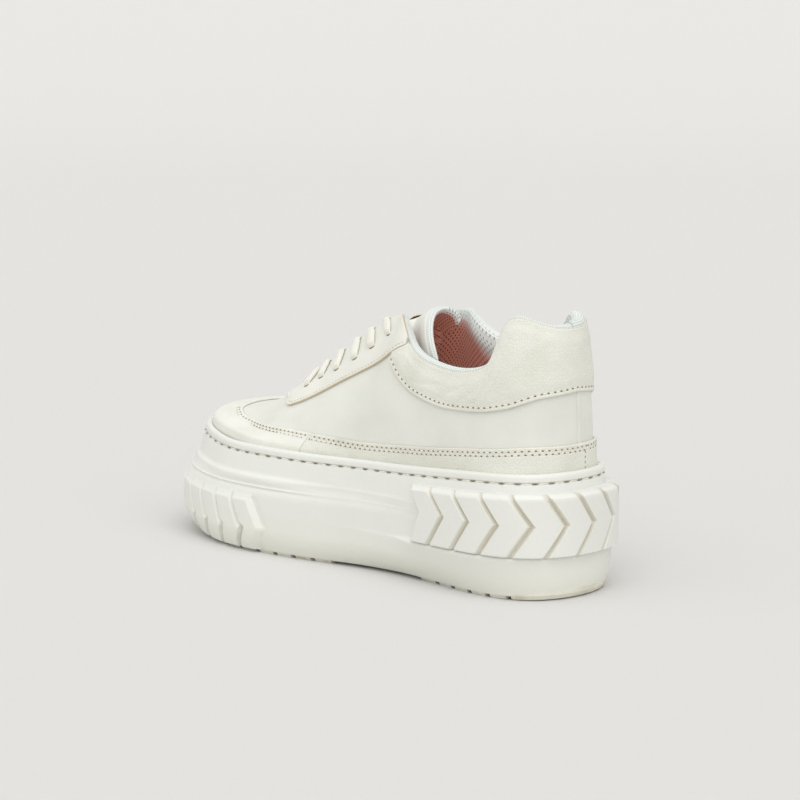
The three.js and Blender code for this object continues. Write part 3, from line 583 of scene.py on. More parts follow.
def lugHeight(toeArc, z, topShift):    # how proud the toe blocks stand at a place on the wall
    c = cup
    lean = np.interp(z - topShift, [4, c["knee"], c["lugTop"]], [c["footLean"], c["kneeLean"], 0])
    lean = lean * (1 + c["endLean"] * smoothStep(c["lugEnd"] - 16, c["lugEnd"], np.abs(toeArc)))
    t = np.abs(toeArc) - lean * smoothStep(2, 30, np.abs(toeArc))
    pitch, shift = c["lugPitch"], c["lugShift"]
    inCell = np.mod(t - 0.5 * pitch - shift, pitch)    # 0 at the sharp side of a groove
    # the wide flank changes side at the knee
    above = smoothStep(c["knee"] - 1.5, c["knee"] + 1.5, z - topShift)
    sharp = np.minimum(smoothStep(0, c["cut"], inCell), np.clip((pitch - inCell) / c["flank"], 0, 1))
    turned = np.minimum(smoothStep(0, c["cut"], pitch - inCell), np.clip(inCell / c["flank"], 0, 1))
    block = turned + (sharp - turned) * above
    end = np.clip((c["lugEnd"] - t) / c["lugBevel"], 0, 1)
    top = np.clip((c["lugTop"] + topShift - z) / c["topBevel"], 0, 1)
    lastCut = (np.floor((c["lugEnd"] - 0.5 * pitch - shift) / pitch) + 0.5) * pitch + shift
    block = np.where(t > lastCut + 0.5 * pitch, 1, block)
    sunk = c["lugSunk"] * smoothStep(c["lugEnd"] + 4, c["lugEnd"] - 4, t) * np.clip(top * 1.5, 0, 1)
    return c["lugRise"] * np.minimum(np.minimum(block, end), top) - sunk


def buildSole():
    def spacing(arc):
        near = smoothStep(cup["toeReach"] + 12, cup["toeReach"], toeLength - arc)
        return cup["spacing"] + (cup["toeSpacing"] - cup["spacing"]) * near
    u = columnsAlong(spacing)
    count = len(u)
    x = outline.at(u)[:, 0]
    at = {name: levelAt(name, u) for name in levels}
    bead = (0.22 + 0.78 * smoothStep(-8, 42, x)) * smoothStep(-78, -50, x)    # dies out towards the waist
    off, z = {k: a[0] for k, a in at.items()}, {k: a[1] for k, a in at.items()}
    wall = form["cupWall"] + 0.2
    lipShare = 1.7 / (z["welt"] - z["tread"])    # the wall's lip covers the top of the outsole's edge
    lip = off["tread"] + (off["welt"] - off["tread"]) * lipShare + 0.45
    knots = [
        (off["tread"] - 2.5, z["tread"] + form["outsole"] + 0.3, 0.0, 1),
        (lip - 1.3, z["tread"] + 1.75, 0.1, 1),
        (lip, z["tread"] + 1.65, 0.35, 3),
        (off["welt"] + 0.15, z["welt"], 3.0, 6),
        (off["wallLow"], z["wallLow"], 5.0, 9),
        (off["wall"], z["wall"], 1.3, 1),
        (off["seat"], z["seat"], 1.0, 12),
        (off["wallTop"], z["wallTop"], 0.8 + 2.0 * bead, 3),
        (off["bead"] - 0.1 * bead, z["bead"], 0.7, 2),
        (off["band"] + 2.0 * bead, z["band"] - 0.7, 1.0, 1),
        (off["band"] + 1.6 * bead, z["band"] + 1.2, 0.9, 1),
        (off["band"] - 0.3 * bead, z["band"] + 2.4, 1.4, 12),
        (off["groove"] + 0.1, z["groove"] - 0.5, 0.5, 1),
        (off["groove"] - 1.0, z["groove"] + 0.1, 0.3, 1),
        (off["rim"] + 0.55, z["groove"] + 0.75, 0.6, 1),
        (off["rim"] + 0.35, z["rim"] - 0.9, 1.7, 1),
        (off["rim"] - 1.4, z["rim"] + 0.25, 1.2, 1),
        (off["rim"] - wall, z["rim"] - 0.7, 0.8, 1),
        (off["rim"] - wall, z["rim"] - form["footbedDepth"], 0.0, 1),
    ]
    rows = rounded(knots)
    toeArc = lengthAt(u) - toeLength
    topShift = at["wallTop"][1] - 33
    points = []
    for k, row in enumerate(rows):
        offset, height = row[:, 0].copy(), row[:, 1]
        lug = lugHeight(toeArc, height, topShift)
        offset += np.where(height < z["bead"], lug, 0)
        offset -= lug * max(cup["footRows"] - k, 0) / cup["footRows"]
        fineRidge = hump(height, z["bead"] - 0.7, 0.4) * bead * 0.5
        shallow = hump(height, z["bead"] - 1.9, 0.7) * bead * 0.4
        offset += fineRidge - shallow
        points.append(outlinePoint(u, offset, height))
    points = np.concatenate(points)
    faces = ringFaces(len(rows), count)
    faces += ladderFaces(0, count) + ladderFaces((len(rows) - 1) * count, count)
    made = makePiece("cupSole", points, faces, [soleLook], sharp=48, slot="sole_foam", node=("midsole",))
    print("sole", len(faces), "faces")
    return made


cupSole = buildSole()


def wallOffset(u, z):    # the cup's outer wall above the ledge
    names = ("seat", "wallTop", "bead", "band", "groove", "rim")
    result = levelAt("seat", u)[0] + 0 * z
    for a, b in zip(names, names[1:]):
        (offA, zA), (offB, zB) = levelAt(a, u), levelAt(b, u)
        share = np.clip((z - zA) / (zB - zA), 0, 1)
        result = np.where(z > zA, offA + (offB - offA) * share, result)
    return result


wrap = {"front": -98.0, "end": 106, "frontLean": 5.5, "firstGroove": -79, "pitch": 16, "grooves": 12,
        "lean": 10, "knee": 38, "bottom": 22.3, "top": 53.3, "bevel": 1.8, "fall": 2.6,
        "face": 4.2, "frontFace": 1.5, "floor": 2.1, "sunk": 0.4, "leftFlank": 1.6, "rightFlank": 1.0,
        "half": 0.35, "spacing": 0.45}


def buildWrap():
    w = wrap
    q = np.arange(w["front"], w["end"] + 0.01, w["spacing"])
    lean = np.interp(np.abs(q - w["front"]), [0, 16], [w["frontLean"], w["lean"]])
    drop = w["fall"] * smoothStep(20, 100, np.abs(q))
    top = w["top"] - drop
    # share 0 to 1 from the bottom edge to the knee, 1 to 2 from there to the top edge
    share = np.concatenate([np.linspace(0, 1, 22), 1 + np.linspace(0, 1, 20)[1:]])[:, None] + 0 * q
    heights = np.where(share <= 1, w["bottom"] + (w["knee"] - w["bottom"]) * share,
                       w["knee"] + (top - w["knee"]) * (share - 1))
    leans = np.abs(share - 1)
    along = q[None, :] - lean[None, :] * leans
    k = np.clip(np.round((q - w["firstGroove"]) / w["pitch"]), 0, w["grooves"] - 1)
    away = q - (w["firstGroove"] + k * w["pitch"])
    cutShape = (np.abs(away) - w["half"]) / np.where(away < 0, w["leftFlank"], w["rightFlank"])
    face = w["floor"] + (w["face"] - w["floor"]) * np.clip(cutShape, 0, 1)
    front = np.clip((q - w["front"]) / 3.4, 0, 1)
    face = np.minimum(face, w["frontFace"] + (w["face"] - w["frontFace"]) * front)
    u = placeAtArc(along)
    bevelShare = np.clip((top[None, :] - heights) / w["bevel"], 0, 1)
    bottomEase = 1 - 0.35 * hump(heights, w["bottom"], 0.35)
    behind = wallOffset(u, heights) - w["sunk"]
    topEdgeProud = np.maximum(behind + 0.9, 0.6)
    proud = topEdgeProud + (face[None, :] - topEdgeProud) * (0.4 + 0.6 * bevelShare) * bottomEase
    outer = outlinePoint(u, proud, 0)
    outer[..., 2] = heights
    back = outlinePoint(u, behind, 0)
    back[..., 2] = heights
    loops = np.concatenate([outer, back[::-1]], 0).transpose(1, 0, 2)
    # painted shade in the grooves, fading towards the top and bottom edges
    grooveShade = 0.75 * (1 - np.clip(cutShape * 0.8, 0, 1))[None, :] * np.clip(1.25 - 0.6 * leans, 0, 1)
    grooveShade = np.concatenate([grooveShade, grooveShade * 0], 0)
    lay = np.stack([np.broadcast_to(q, grooveShade.shape), np.zeros_like(grooveShade), grooveShade], -1).transpose(1, 0, 2)
    faces = loftFaces(len(q), loops.shape[1])
    return makePiece("heelBand", loops.reshape(-1, 3), faces, [soleLook], lay=lay, sharp=34,
                     slot="sole_foam", node=("heel_wrap",))


heelBand = buildWrap()
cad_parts["outsole"].data.materials.clear()
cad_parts["outsole"].data.materials.append(outsoleLook)
print("heel band and outsole done")


# ---- upper
edges = {  # seam heights by station
    "guard": {"at": [0, 1.1, 2.6, 3.9, 5.4, 6.5, 7.9, 8.6, 9.1, 10, 11],
              "z": [75, 75, 72.3, 68, 65.2, 65.6, 64.8, 65.6, 67.2, 69.3, 69.8]},
    "collar": {"at": [0, 1.1, 2, 2.8, 3.2, 3.9, 4.4, 4.9, 5.3],
               "z": [100.8, 98.5, 92.8, 89.8, 89.4, 92.6, 98, 105.2, 111.2]},
    "stay": {"at": [4.45, 5.06, 5.7, 6.35, 7, 7.35, 7.65, 8.2, 9, 10, 11],
             "z": [118, 113.2, 103.6, 93, 82.2, 77.8, 75.6, 77.8, 78.6, 78.2, 77.6]},
}
# soft creases on the skin: ends (place, share of section), depth and half width in mm
creases = [
    ((2.25, 0.93), (2.75, 0.72), -0.35, 1.6), ((2.55, 0.9), (3.1, 0.70), -0.30, 1.4),
    ((2.9, 0.88), (3.5, 0.74), -0.30, 1.5), ((1.9, 0.86), (2.35, 0.66), -0.25, 1.6),
    ((3.4, 0.86), (4.1, 0.80), -0.25, 1.6), ((0.9, 0.93), (1.6, 0.80), 0.25, 3.0),
    ((6.9, 0.42), (7.9, 0.46), -0.30, 3.0), ((7.2, 0.34), (8.1, 0.37), -0.25, 3.5),
    ((4.6, 0.42), (5.6, 0.30), -0.35, 5.0), ((20.1, 0.93), (19.4, 0.72), -0.35, 1.6),
    ((19.3, 0.9), (18.7, 0.74), -0.30, 1.6), ((15.1, 0.42), (14.1, 0.46), -0.30, 3.0),
]


def creaseDepth(u, v):
    total = np.zeros(np.broadcast(u, v).shape)
    for (uA, vA), (uB, vB), depth, width in creases:
        perU, perV = 30.0, 75.0    # about how many mm a station and a section are
        px, py = (u - uA) * perU, (v - vA) * perV
        dx, dy = (uB - uA) * perU, (vB - vA) * perV
        f = np.clip((px * dx + py * dy) / (dx * dx + dy * dy), 0, 1)
        away = np.hypot(px - f * dx, py - f * dy)
        total += depth * np.exp(-(away / width) ** 2)
    return total


shell = {"spacing": 1.45, "rows": 84, "leather": 1.0, "linerRows": 46, "linerEnd": 0.02,
         "seamSpacing": 0.35, "seamDepth": 0.5, "strapRise": 0.45, "seamLean": 4.0, "seamTop": 0.75,
         "rollAt": [0, 0.8, 1.3, 2.2, 3.2, 4.6, 5.3, last],    # the roll's rise on the outer side, by station
         "roll": [2.2, 1.4, 1.0, 1.5, 2.3, 2.3, 0.3, 0]}


def buildQuarter():
    c = shell
    fine = c["seamSpacing"]
    u = columnsAlong(lambda arc: fine + (c["spacing"] - fine) * float(smoothStep(9, 16, arc)))
    v = np.linspace(0, 1, c["rows"])[:, None]
    signed = np.where(u <= last, lengthAt(u), lengthAt(u) - perimeter)[None, :]
    away = signed + 1.0 + c["seamLean"] * (0.62 - v)    # the back seam leans to the inner side going down
    strap = smoothStep(0.3, -0.3, away) * smoothStep(-3.2, -2.2, away)
    low = c["strapRise"] * strap - c["seamDepth"] * hump(away, 0.5, 0.5)
    outer = upperAt(u[None, :], v, creaseDepth(u[None, :], v) + low * (v < c["seamTop"]))
    vBack = np.linspace(1, 0, 14)[:, None]
    inner = upperAt(u[None, :], vBack, -c["leather"])
    points = np.concatenate([outer, inner])
    faces = ringFaces(len(points), len(u), closed=True)
    return makePiece("quarters", points, faces, [smoothLook], slot="upper_leather", node=("upper",))


def buildLining():
    u = columnsAlong(lambda arc: shell["spacing"])
    count = len(u)
    pad = padShare(u)
    wall = wallAt(u, 1.0)
    outerTop, innerTop = upperAt(u, 1.0), upperAt(u, 1.0, -wall)
    across = outerTop - innerTop
    across /= np.linalg.norm(across, axis=-1, keepdims=True)
    middle = (outerTop + innerTop) / 2
    outerRoll = lookup(shell["rollAt"], shell["roll"], fold(u))
    rollHeight = np.where(u <= last, outerRoll, form["collarRoll"] * pad)
    rows, down = [upperAt(u, 0.99, 0.1 + 0.3 * pad)], [-3.0]    # points and how far down inside they lie
    for a in np.linspace(0, np.pi, 15):    # over the roll
        half = wall / 2 + (0.1 + 0.25 * pad) * max(0, math.cos(a)) ** 0.7
        point = middle + across * (half * math.cos(a))[:, None]
        point[:, 2] += (rollHeight + 0.35) * math.sin(a)
        rows.append(point)
        down.append(-2.0 + 8 * a / np.pi)
    vIn = np.linspace(1, shell["linerEnd"], shell["linerRows"])[1:]
    previous, travelled = vIn[0], 6.0
    for v in vIn:    # down the inner face
        travelled = travelled + np.abs(previous - v) * sectionScale(u, v)
        previous = v
        bulge = 0.8 * pad * hump(v, 0.93, 0.06)
        rows.append(upperAt(u, v, -wallAt(u, v) - bulge))
        down.append(travelled)
    for v in np.linspace(shell["linerEnd"], 0.95, 8):    # back up behind the leather
        rows.append(upperAt(u, v, -shell["leather"] - 0.15 - 0.3 * pad))
        down.append(60.0)
    points, total = np.concatenate(rows), len(rows)
    drop = np.stack([np.broadcast_to(d, u.shape) for d in down])
    # the colour turns from pale to terracotta down inside, later towards the heel
    x = points.reshape(total, count, 3)[..., 0]
    mask = np.clip((drop - 4) / 34, 0, 1) + smoothStep(-70, -20, x) * 0.35 - smoothStep(-75, -115, x) * 0.15
    mask = np.where(drop < 8, -1.0 + 0.125 * np.clip(drop, 0, 8), mask)
    lay = np.stack([np.broadcast_to(lengthAt(u) * 0.8, drop.shape), drop, mask], -1)
    faces = ringFaces(total, count, closed=True)
    made = makePiece("collarLining", points, faces, [liningLook], lay=lay, slot="lining_fabric")
    return made


quarters, collarLining = buildQuarter(), buildLining()
print("quarters and lining done")


# ---- leather overlays
panels = {"spacing": 1.1, "rows": 34, "round": 0.55, "dent": 0.22}


def panelPiece(name, node, start, end, lowEdge, highEdge, finish, seamLow=(), seamHigh=(), edgeShade=0.0,
               puff=0.0, fill=False):
    p = panels
    before = lengthAt(start) if start >= 0 else -lengthAt(-start)
    steps = int((lengthAt(end) - before) / p["spacing"])
    u = np.linspace(start, end, max(steps, 12))
    low, high = lowEdge(u), highEdge(u)
    scale = sectionScale(np.mod(u, fullTurn), (low + high) / 2)
    width = (high - low) * scale
    near = np.array([0, 0.0, 0.12, 0.4, 0.9, 1.5, 2.1, 2.8, 3.6, 4.4, 5.3])
    fromLow = np.minimum(near[:, None], width * 0.45)
    middle = np.linspace(0, 1, p["rows"])[1:-1]
    inner = fromLow[-1] + (width - 2 * fromLow[-1]) * middle[:, None]
    fromHigh = width - fromLow[::-1]
    distance = np.concatenate([fromLow, inner, fromHigh])
    v = low + distance / np.maximum(scale, 1e-6)
    ease = np.minimum(distance, width - distance)
    r = p["round"]
    lift = form["overlay"] * (0.45 + 0.55 * np.sqrt(np.clip(1 - (1 - np.clip(ease / r, 0, 1)) ** 2, 0, 1)))
    lift[0], lift[-1] = 0.0, 0.0
    dent = np.zeros_like(distance)
    for d in seamLow:
        dent += p["dent"] * hump(distance, d, 0.55)
    for d in seamHigh:
        dent += p["dent"] * hump(width - distance, d, 0.55)
    places = np.broadcast_to(u, v.shape)
    plump = puff * smoothStep(2.5, 7, ease)
    if fill:
        plump = plump + cupGap(places, v) * (ease > 0.05)
    offset = form["bed"] + lift - dent + plump + creaseDepth(np.mod(places, fullTurn), v) * (ease > 0.3)
    outer = upperAt(places, np.clip(v, 0, 1), offset)
    back = upperAt(places, np.clip(v, 0, 1), form["bed"] - 0.15)
    loops = np.concatenate([outer, back[::-1]], 0).transpose(1, 0, 2)
    # painted shade on the cut edge walls, at the strength given for each panel
    edgeShadeMask = (ease < 0.05).astype(float) * edgeShade
    edgeShadeMask[[2, -3]] = edgeShade * 0.4
    lay = np.stack([places * 30, distance, edgeShadeMask], -1)
    layBack = np.stack([places * 30, distance, np.zeros_like(distance)], -1)
    lays = np.concatenate([lay, layBack[::-1]], 0).transpose(1, 0, 2)
    faces = loftFaces(len(u), loops.shape[1])
    return makePiece(name, loops.reshape(-1, 3), faces, [finish], lay=lays, sharp=60,
                     slot="overlay_leather", node=(node,))


def cupGap(u, v):    # how far the skin must swell to rest against the cup's rim
    skin = upperAt(u, v, form["bed"] + form["overlay"])
    rimOffset, rimHeight = levelAt("rim", u)
    base = outline.at(np.mod(u, fullTurn))
    reach = np.sum((skin[..., :2] - base[..., :2]) * outward(u)[..., :2], -1)
    gap = rimOffset - form["cupWall"] - 0.1 - reach
    near = np.exp(-(np.maximum(np.abs(skin[..., 2] - rimHeight + 0.5) - 1.0, 0) / 3.2) ** 2)
    return np.clip(gap, 0, 7) * near


def guardEdge(u):
    return shareAt(edges["guard"], u)


def collarEdge(u):
    return shareAt(edges["collar"], u)


def stayEdge(u):
    s = fold(u)
    return np.where(s <= edges["stay"]["at"][0], 1.0, shareAt(edges["stay"], u))


def collarTop(u):
    return np.minimum(0.996, stayEdge(u) - 0.004)


joinAt, heelJoin, joinGap = 6.3, 0.34, 0.006
sewing = {"pitch": 3.4, "guardRows": (1.7, 3.5), "collarRow": 2.2, "stayRow": 2.0, "toeFade": 9.7}
guardLook = {"seamHigh": sewing["guardRows"], "fill": True}
toeCap = panelPiece("toeCap", "toe_cap", joinAt, fullTurn - joinAt, np.zeros_like, guardEdge, plainLook,
                    edgeShade=0.35, puff=0.15, **guardLook)
mudguardOuter = panelPiece("mudguardOuter", "mudguard_lateral", -heelJoin, joinAt - joinGap, np.zeros_like,
                           guardEdge, tumbledLook, edgeShade=0.3, **guardLook)
mudguardInner = panelPiece("mudguardInner", "mudguard_medial", fullTurn - joinAt + joinGap,
                           fullTurn - heelJoin - joinGap, np.zeros_like, guardEdge, tumbledLook,
                           edgeShade=0.3, **guardLook)
collarPanel = panelPiece("collarPanel", "collar_panel", -5.08, 5.08, collarEdge, collarTop, tumbledLook,
                         seamLow=(sewing["collarRow"],), edgeShade=0.25, puff=0.5)
eyestay = panelPiece("eyestay", "eyestay", 4.6, fullTurn - 4.6, stayEdge, np.ones_like, plainLook,
                     seamLow=(sewing["stayRow"],), edgeShade=1.0, puff=0.1)
print("overlays done")


# ---- tongue
tongueForm = {"thick": 4, "clear": 1, "crown": 1.5, "throat": [10, 9, 8, 7.2, 6.4, 5.75],
              "flank": [0.74, 0.87, 0.97], "bridge": [0.25, 0.5, 0.75], "middle": -3.5,
              "fallOuter": (-0.5, 0, -0.86), "fallInner": (0, 0, -1), "bound": 2.4, "round": 3.2,
              "rows": 110, "columns": 80}
tongueTop = [  # x, z, outer half width and fall, inner half width and fall
    (-23.5, 128.6, 17, 21, 14, 12), (-30, 132.4, 19, 27, 15, 12), (-35.5, 134.6, 19.5, 30, 15, 9),
]


def tongueGrid():    # the tongue's upper face, front to free end
    t = tongueForm
    grid = []
    flank = np.array(t["flank"])
    for s in t["throat"]:
        sink = -(wallAt(s, flank) + t["clear"])
        outer = upperAt(s, flank, sink)
        inner = upperAt(fullTurn - s, flank, sink)[::-1]
        bridge = []
        for f in t["bridge"]:
            point = outer[-1] * (1 - f) + inner[0] * f
            point[2] += t["crown"] * 4 * f * (1 - f) * float(smoothStep(9, 8, s))
            bridge.append(point)
        grid.append(np.concatenate([outer, bridge, inner]))
    reach = math.radians(80)
    for x, z, halfOuter, fallOuter, halfInner, fallInner in tongueTop:
        row = []
        for k in range(9):
            angle = reach * (1 - 2 * k / 8)
            share = (1 - math.cos(angle)) / (1 - math.cos(reach))
            half, fall, way = ((halfOuter, fallOuter, t["fallOuter"]) if angle > 0
                               else (halfInner, fallInner, t["fallInner"]))
            y = t["middle"] + half * math.sin(angle) / math.sin(reach)
            row.append(np.array([x, y, z]) + np.array(way) * fall * share)
        grid.append(np.array(row))
    return np.array(grid)


def finer(grid, steps):    # smooth curve through the rows of a grid
    count = len(grid)
    padded = np.concatenate([[2 * grid[0] - grid[1]], grid, [2 * grid[-1] - grid[-2]]])
    places = np.linspace(0, count - 1, steps)
    i = np.minimum(places.astype(int), count - 2)
    f = (places - i).reshape((-1,) + (1,) * (grid.ndim - 1))
    a, b, c, d = padded[i], padded[i + 1], padded[i + 2], padded[i + 3]
    return 0.5 * (2 * b + (c - a) * f + (2 * a - 5 * b + 4 * c - d) * f * f
                  + (3 * b - a - 3 * c + d) * f ** 3)


def buildTongue():
    t = tongueForm
    rows, columns = t["rows"], t["columns"]
    top = finer(finer(tongueGrid(), rows).transpose(1, 0, 2), columns).transpose(1, 0, 2)
    along = np.gradient(top, axis=0)
    across = np.gradient(top, axis=1)
    normal = np.cross(along, across)
    normal /= np.linalg.norm(normal, axis=-1, keepdims=True)
    if normal[80, 40, 2] < 0:
        normal = -normal
    stepAlong = np.linalg.norm(np.diff(top, axis=0), axis=-1)
    runAlong = np.concatenate([np.zeros((1, columns)), np.cumsum(stepAlong, 0)])
    stepAcross = np.linalg.norm(np.diff(top, axis=1), axis=-1)
    runAcross = np.concatenate([np.zeros((rows, 1)), np.cumsum(stepAcross, 1)], 1)
    toEnd = runAlong[-1] - runAlong
    toSide = np.minimum(runAcross, runAcross[:, -1:] - runAcross)
    rim = np.minimum(toEnd, toSide)
    half = t["thick"] / 2 * np.sqrt(np.clip(1 - (1 - np.clip(rim / t["round"], 0, 1)) ** 2, 0.02, 1))
    seam = 0.35 * hump(toEnd, t["bound"] + 0.4, 0.6)
    middle = top - normal * t["thick"] / 2
    outer = middle + normal * (half - seam)[..., None]
    inner = middle - normal * half[..., None]
    points = np.concatenate([outer.reshape(-1, 3), inner.reshape(-1, 3)])
    faces, finishOf = [], []
    for i in range(rows - 1):
        for j in range(columns - 1):
            a = i * columns + j
            cell = [a, a + 1, a + columns + 1, a + columns]
            faces += [cell, [c + rows * columns for c in cell[::-1]]]
            finishOf += [1 if toEnd[i, j] < t["bound"] else 0, 1]
    border = ([(i, 0) for i in range(rows)] + [(rows - 1, j) for j in range(1, columns)]
              + [(i, columns - 1) for i in range(rows - 2, -1, -1)]
              + [(0, j) for j in range(columns - 2, 0, -1)])
    ids = [i * columns + j for i, j in border]
    for a, b in zip(ids, ids[1:] + ids[:1]):
        faces.append([a, b, b + rows * columns, a + rows * columns])
        finishOf.append(1)
    # the inner half shows its mesh right to the edge, the outer half has a bound rim without holes
    inSide = smoothStep(0.55, 0.65, np.arange(columns) / columns)[None, :]
    toRim = np.minimum(toEnd, toSide + 3)
    bare = np.clip(1 - toRim / t["bound"], 0, 1) * (1 - inSide)
    maskIn = np.clip((toRim - 1) / 7, 0, 1) - bare
    maskOut = np.broadcast_to(inSide - 1, toEnd.shape)
    lay = np.concatenate([np.stack([runAcross, toEnd, maskOut], -1).reshape(-1, 3),
                          np.stack([runAcross, toEnd, maskIn], -1).reshape(-1, 3)])
    made = makePiece("tongue", points, faces, [smoothLook, tongueLiningLook], lay=lay,
                     finishOf=finishOf, slot="upper_leather", node=("tongue",))
    return made


tongue = buildTongue()

plate = {"length": 4.8, "width": 10.5, "thick": 0.8, "x": -19.2, "z": 126.7, "slope": 30}


def roundedPlate(name, length, width, thick, radius, finish, **extra):
    corners = []
    for cx, cy, start in ((1, 1, 0), (-1, 1, 90), (-1, -1, 180), (1, -1, 270)):
        for k in range(6):
            a = math.radians(start + 18 * k)
            corners.append((cx * (length / 2 - radius) + radius * math.cos(a),
                            cy * (width / 2 - radius) + radius * math.sin(a)))
    rings = [(0.0, -thick / 2), (0.0, thick * 0.22), (0.12, thick * 0.42), (0.35, thick / 2)]
    size = len(corners)
    slope = math.radians(plate["slope"])
    points = []
    for inset, level in rings:
        for cx, cy in corners:
            px, py = cx * (1 - 2 * inset / length), cy * (1 - 2 * inset / width)
            points.append((plate["x"] + px * math.cos(slope) + level * math.sin(slope),
                           tongueForm["middle"] + py,
                           plate["z"] - px * math.sin(slope) + level * math.cos(slope)))
    faces = ringFaces(len(rings), size) + [list(range(size)), [3 * size + i for i in range(size)]]
    return makePiece(name, points, faces, [finish], sharp=40, **extra)


tonguePlate = roundedPlate("tonguePlate", plate["length"] - 0.3, plate["width"] - 0.3, plate["thick"], 1.2,
                           badgeLook, slot="badge_plastic", node=("tongue_badge",))
plateRim = roundedPlate("plateRim", plate["length"] + 0.7, plate["width"] + 0.7, plate["thick"] * 0.55, 1.5,
                        goldLook)

# ---- insole
pad = {"thick": 4, "spacing": 3}


def buildInsole():
    u = columnsAlong(lambda arc: pad["spacing"])
    count = len(u)
    inner = levelAt("rim", u)[0] + featherOffset - form["leatherAndLining"] - form["gap"]
    base = footbedHeight(u) + form["gap"]
    rings = []
    for inset, rise in ((0.5, 0), (0.5, pad["thick"] * 0.6), (0.8, pad["thick"] * 0.85),
                        (1.6, pad["thick"])):
        rings.append(outlinePoint(u, inner - inset, base + rise))
    points = np.concatenate(rings)
    faces = ringFaces(len(rings), count) + ladderFaces(0, count) + ladderFaces(3 * count, count)
    made = makePiece("insole", points, faces, [insoleLook], sharp=50,
                     slot="lining_fabric", node=("insole",))
    return made


insole = buildInsole()
print("tongue, plate and insole done")

# ---- laces
laces = {"width": 5.4, "thick": 2.3, "lift": 0.3, "arch": -1.0, "slant": 0.3, "sides": 20, "steps": 128,
         "tuck": 1.6, "bend": 3.4, "neck": 0.62,
         "at": [5.7, 6.04, 6.38, 6.81, 7.27, 7.67], "v": [0.85, 0.81, 0.79, 0.78, 0.79, 0.77]}


def laceBar(number, s, v0):
    c = laces
    height = form["bed"] + form["overlay"] + c["lift"] + c["thick"] / 2 - 0.15

    def side(foot, way):
        v = np.linspace(v0 - 0.012, 1, 16)
        u = foot + way * c["slant"] * (v - v0) / (1 - v0)
        scale = float(sectionScale(np.array(foot), np.array((v0 + 1) / 2)))
        out = (v - v[0]) * scale
        rise = (height + c["tuck"]) * np.sin(np.clip(out / c["bend"], 0, 1) * np.pi / 2) - c["tuck"]
        middle = upperAt(u, v, rise)
        normal = upperAt(u, v, rise + 1) - middle
        along = upperAt(u + 0.1, v, rise) - upperAt(u - 0.1, v, rise)
        return middle, normal, along / np.linalg.norm(along, axis=-1, keepdims=True)

    mA, nA, aA = side(s, 1)
    mB, nB, aB = side(fullTurn - s, -1)
    mB, nB, aB = mB[::-1], nB[::-1], -aB[::-1]
    f = np.linspace(0, 1, 14)[1:-1][:, None]
    bridge = mA[-1] * (1 - f) + mB[0] * f
    bridge[:, 2] += (c["arch"] * 4 * f * (1 - f))[:, 0]
    middle = np.concatenate([mA, bridge, mB])
    normal = np.concatenate([nA, nA[-1] * (1 - f) + nB[0] * f, nB])
    along = np.concatenate([aA, aA[-1] * (1 - f) + aB[0] * f, aB])
    middle, normal, along = (finer(k, c["steps"]) for k in (middle, normal, along))
    for _ in range(6):    # soften the turns over the throat's edges
        middle[1:-1] = (middle[:-2] + 2 * middle[1:-1] + middle[2:]) / 4
        normal[1:-1] = (normal[:-2] + 2 * normal[1:-1] + normal[2:]) / 4
    normal /= np.linalg.norm(normal, axis=-1, keepdims=True)
    along /= np.linalg.norm(along, axis=-1, keepdims=True)
    run = runAlongPath(middle)
    toEnd = np.minimum(run, run[-1] - run)
    narrow = c["neck"] + (1 - c["neck"]) * smoothStep(0, 5, toEnd)
    thicker = 1.12 - 0.12 * smoothStep(0, 5, toEnd)
    angle = np.linspace(0, 2 * np.pi, c["sides"], endpoint=False)
    shapeA = np.sign(np.cos(angle)) * np.abs(np.cos(angle)) ** 0.8
    shapeB = np.sign(np.sin(angle)) * np.abs(np.sin(angle)) ** 0.8
    wave = 1 + 0.03 * np.sin(run * 2 * np.pi / 2.7)[:, None]
    wide = c["width"] / 2 * narrow[:, None] * shapeA * wave
    tall = c["thick"] / 2 * thicker[:, None] * shapeB * wave
    points = middle[:, None] + along[:, None] * wide[..., None] + normal[:, None] * tall[..., None]
    across = np.broadcast_to(angle * c["width"] / 2.4, (len(run), c["sides"]))
    shade = 0.55 * np.broadcast_to(smoothStep(2.2, 0.4, toEnd)[:, None], across.shape)
    lay = np.stack([np.broadcast_to(run[:, None], across.shape), across, shade], -1)
    faces = ringFaces(len(run), c["sides"])
    for at in (0, (len(run) - 1) * c["sides"]):
        faces.append([at + i for i in range(c["sides"])])
    return makePiece("laceBar" + str(number), points.reshape(-1, 3), faces, [laceLook], lay=lay,
                     slot="lace_cotton", node=("lace_bar_" + str(number),))


laceBars = [laceBar(k + 1, s, v) for k, (s, v) in enumerate(zip(laces["at"], laces["v"]))]
print("laces done")


# ---- stitching
def evenly(path, normals, pitch, start=0.0):    # points, directions and normals at equal steps
    run = runAlongPath(path)
    at = np.arange(start, run[-1], pitch)

    def read(table, shift=0.0):
        return np.stack([np.interp(at + shift, run, table[:, k]) for k in range(3)], -1)

    spots, facing = read(path), read(normals)
    along = read(path, 0.4) - read(path, -0.4)
    along /= np.linalg.norm(along, axis=1, keepdims=True) + 1e-9
    facing -= along * np.sum(facing * along, 1)[:, None]
    facing /= np.linalg.norm(facing, axis=1, keepdims=True)
    return spots, along, facing


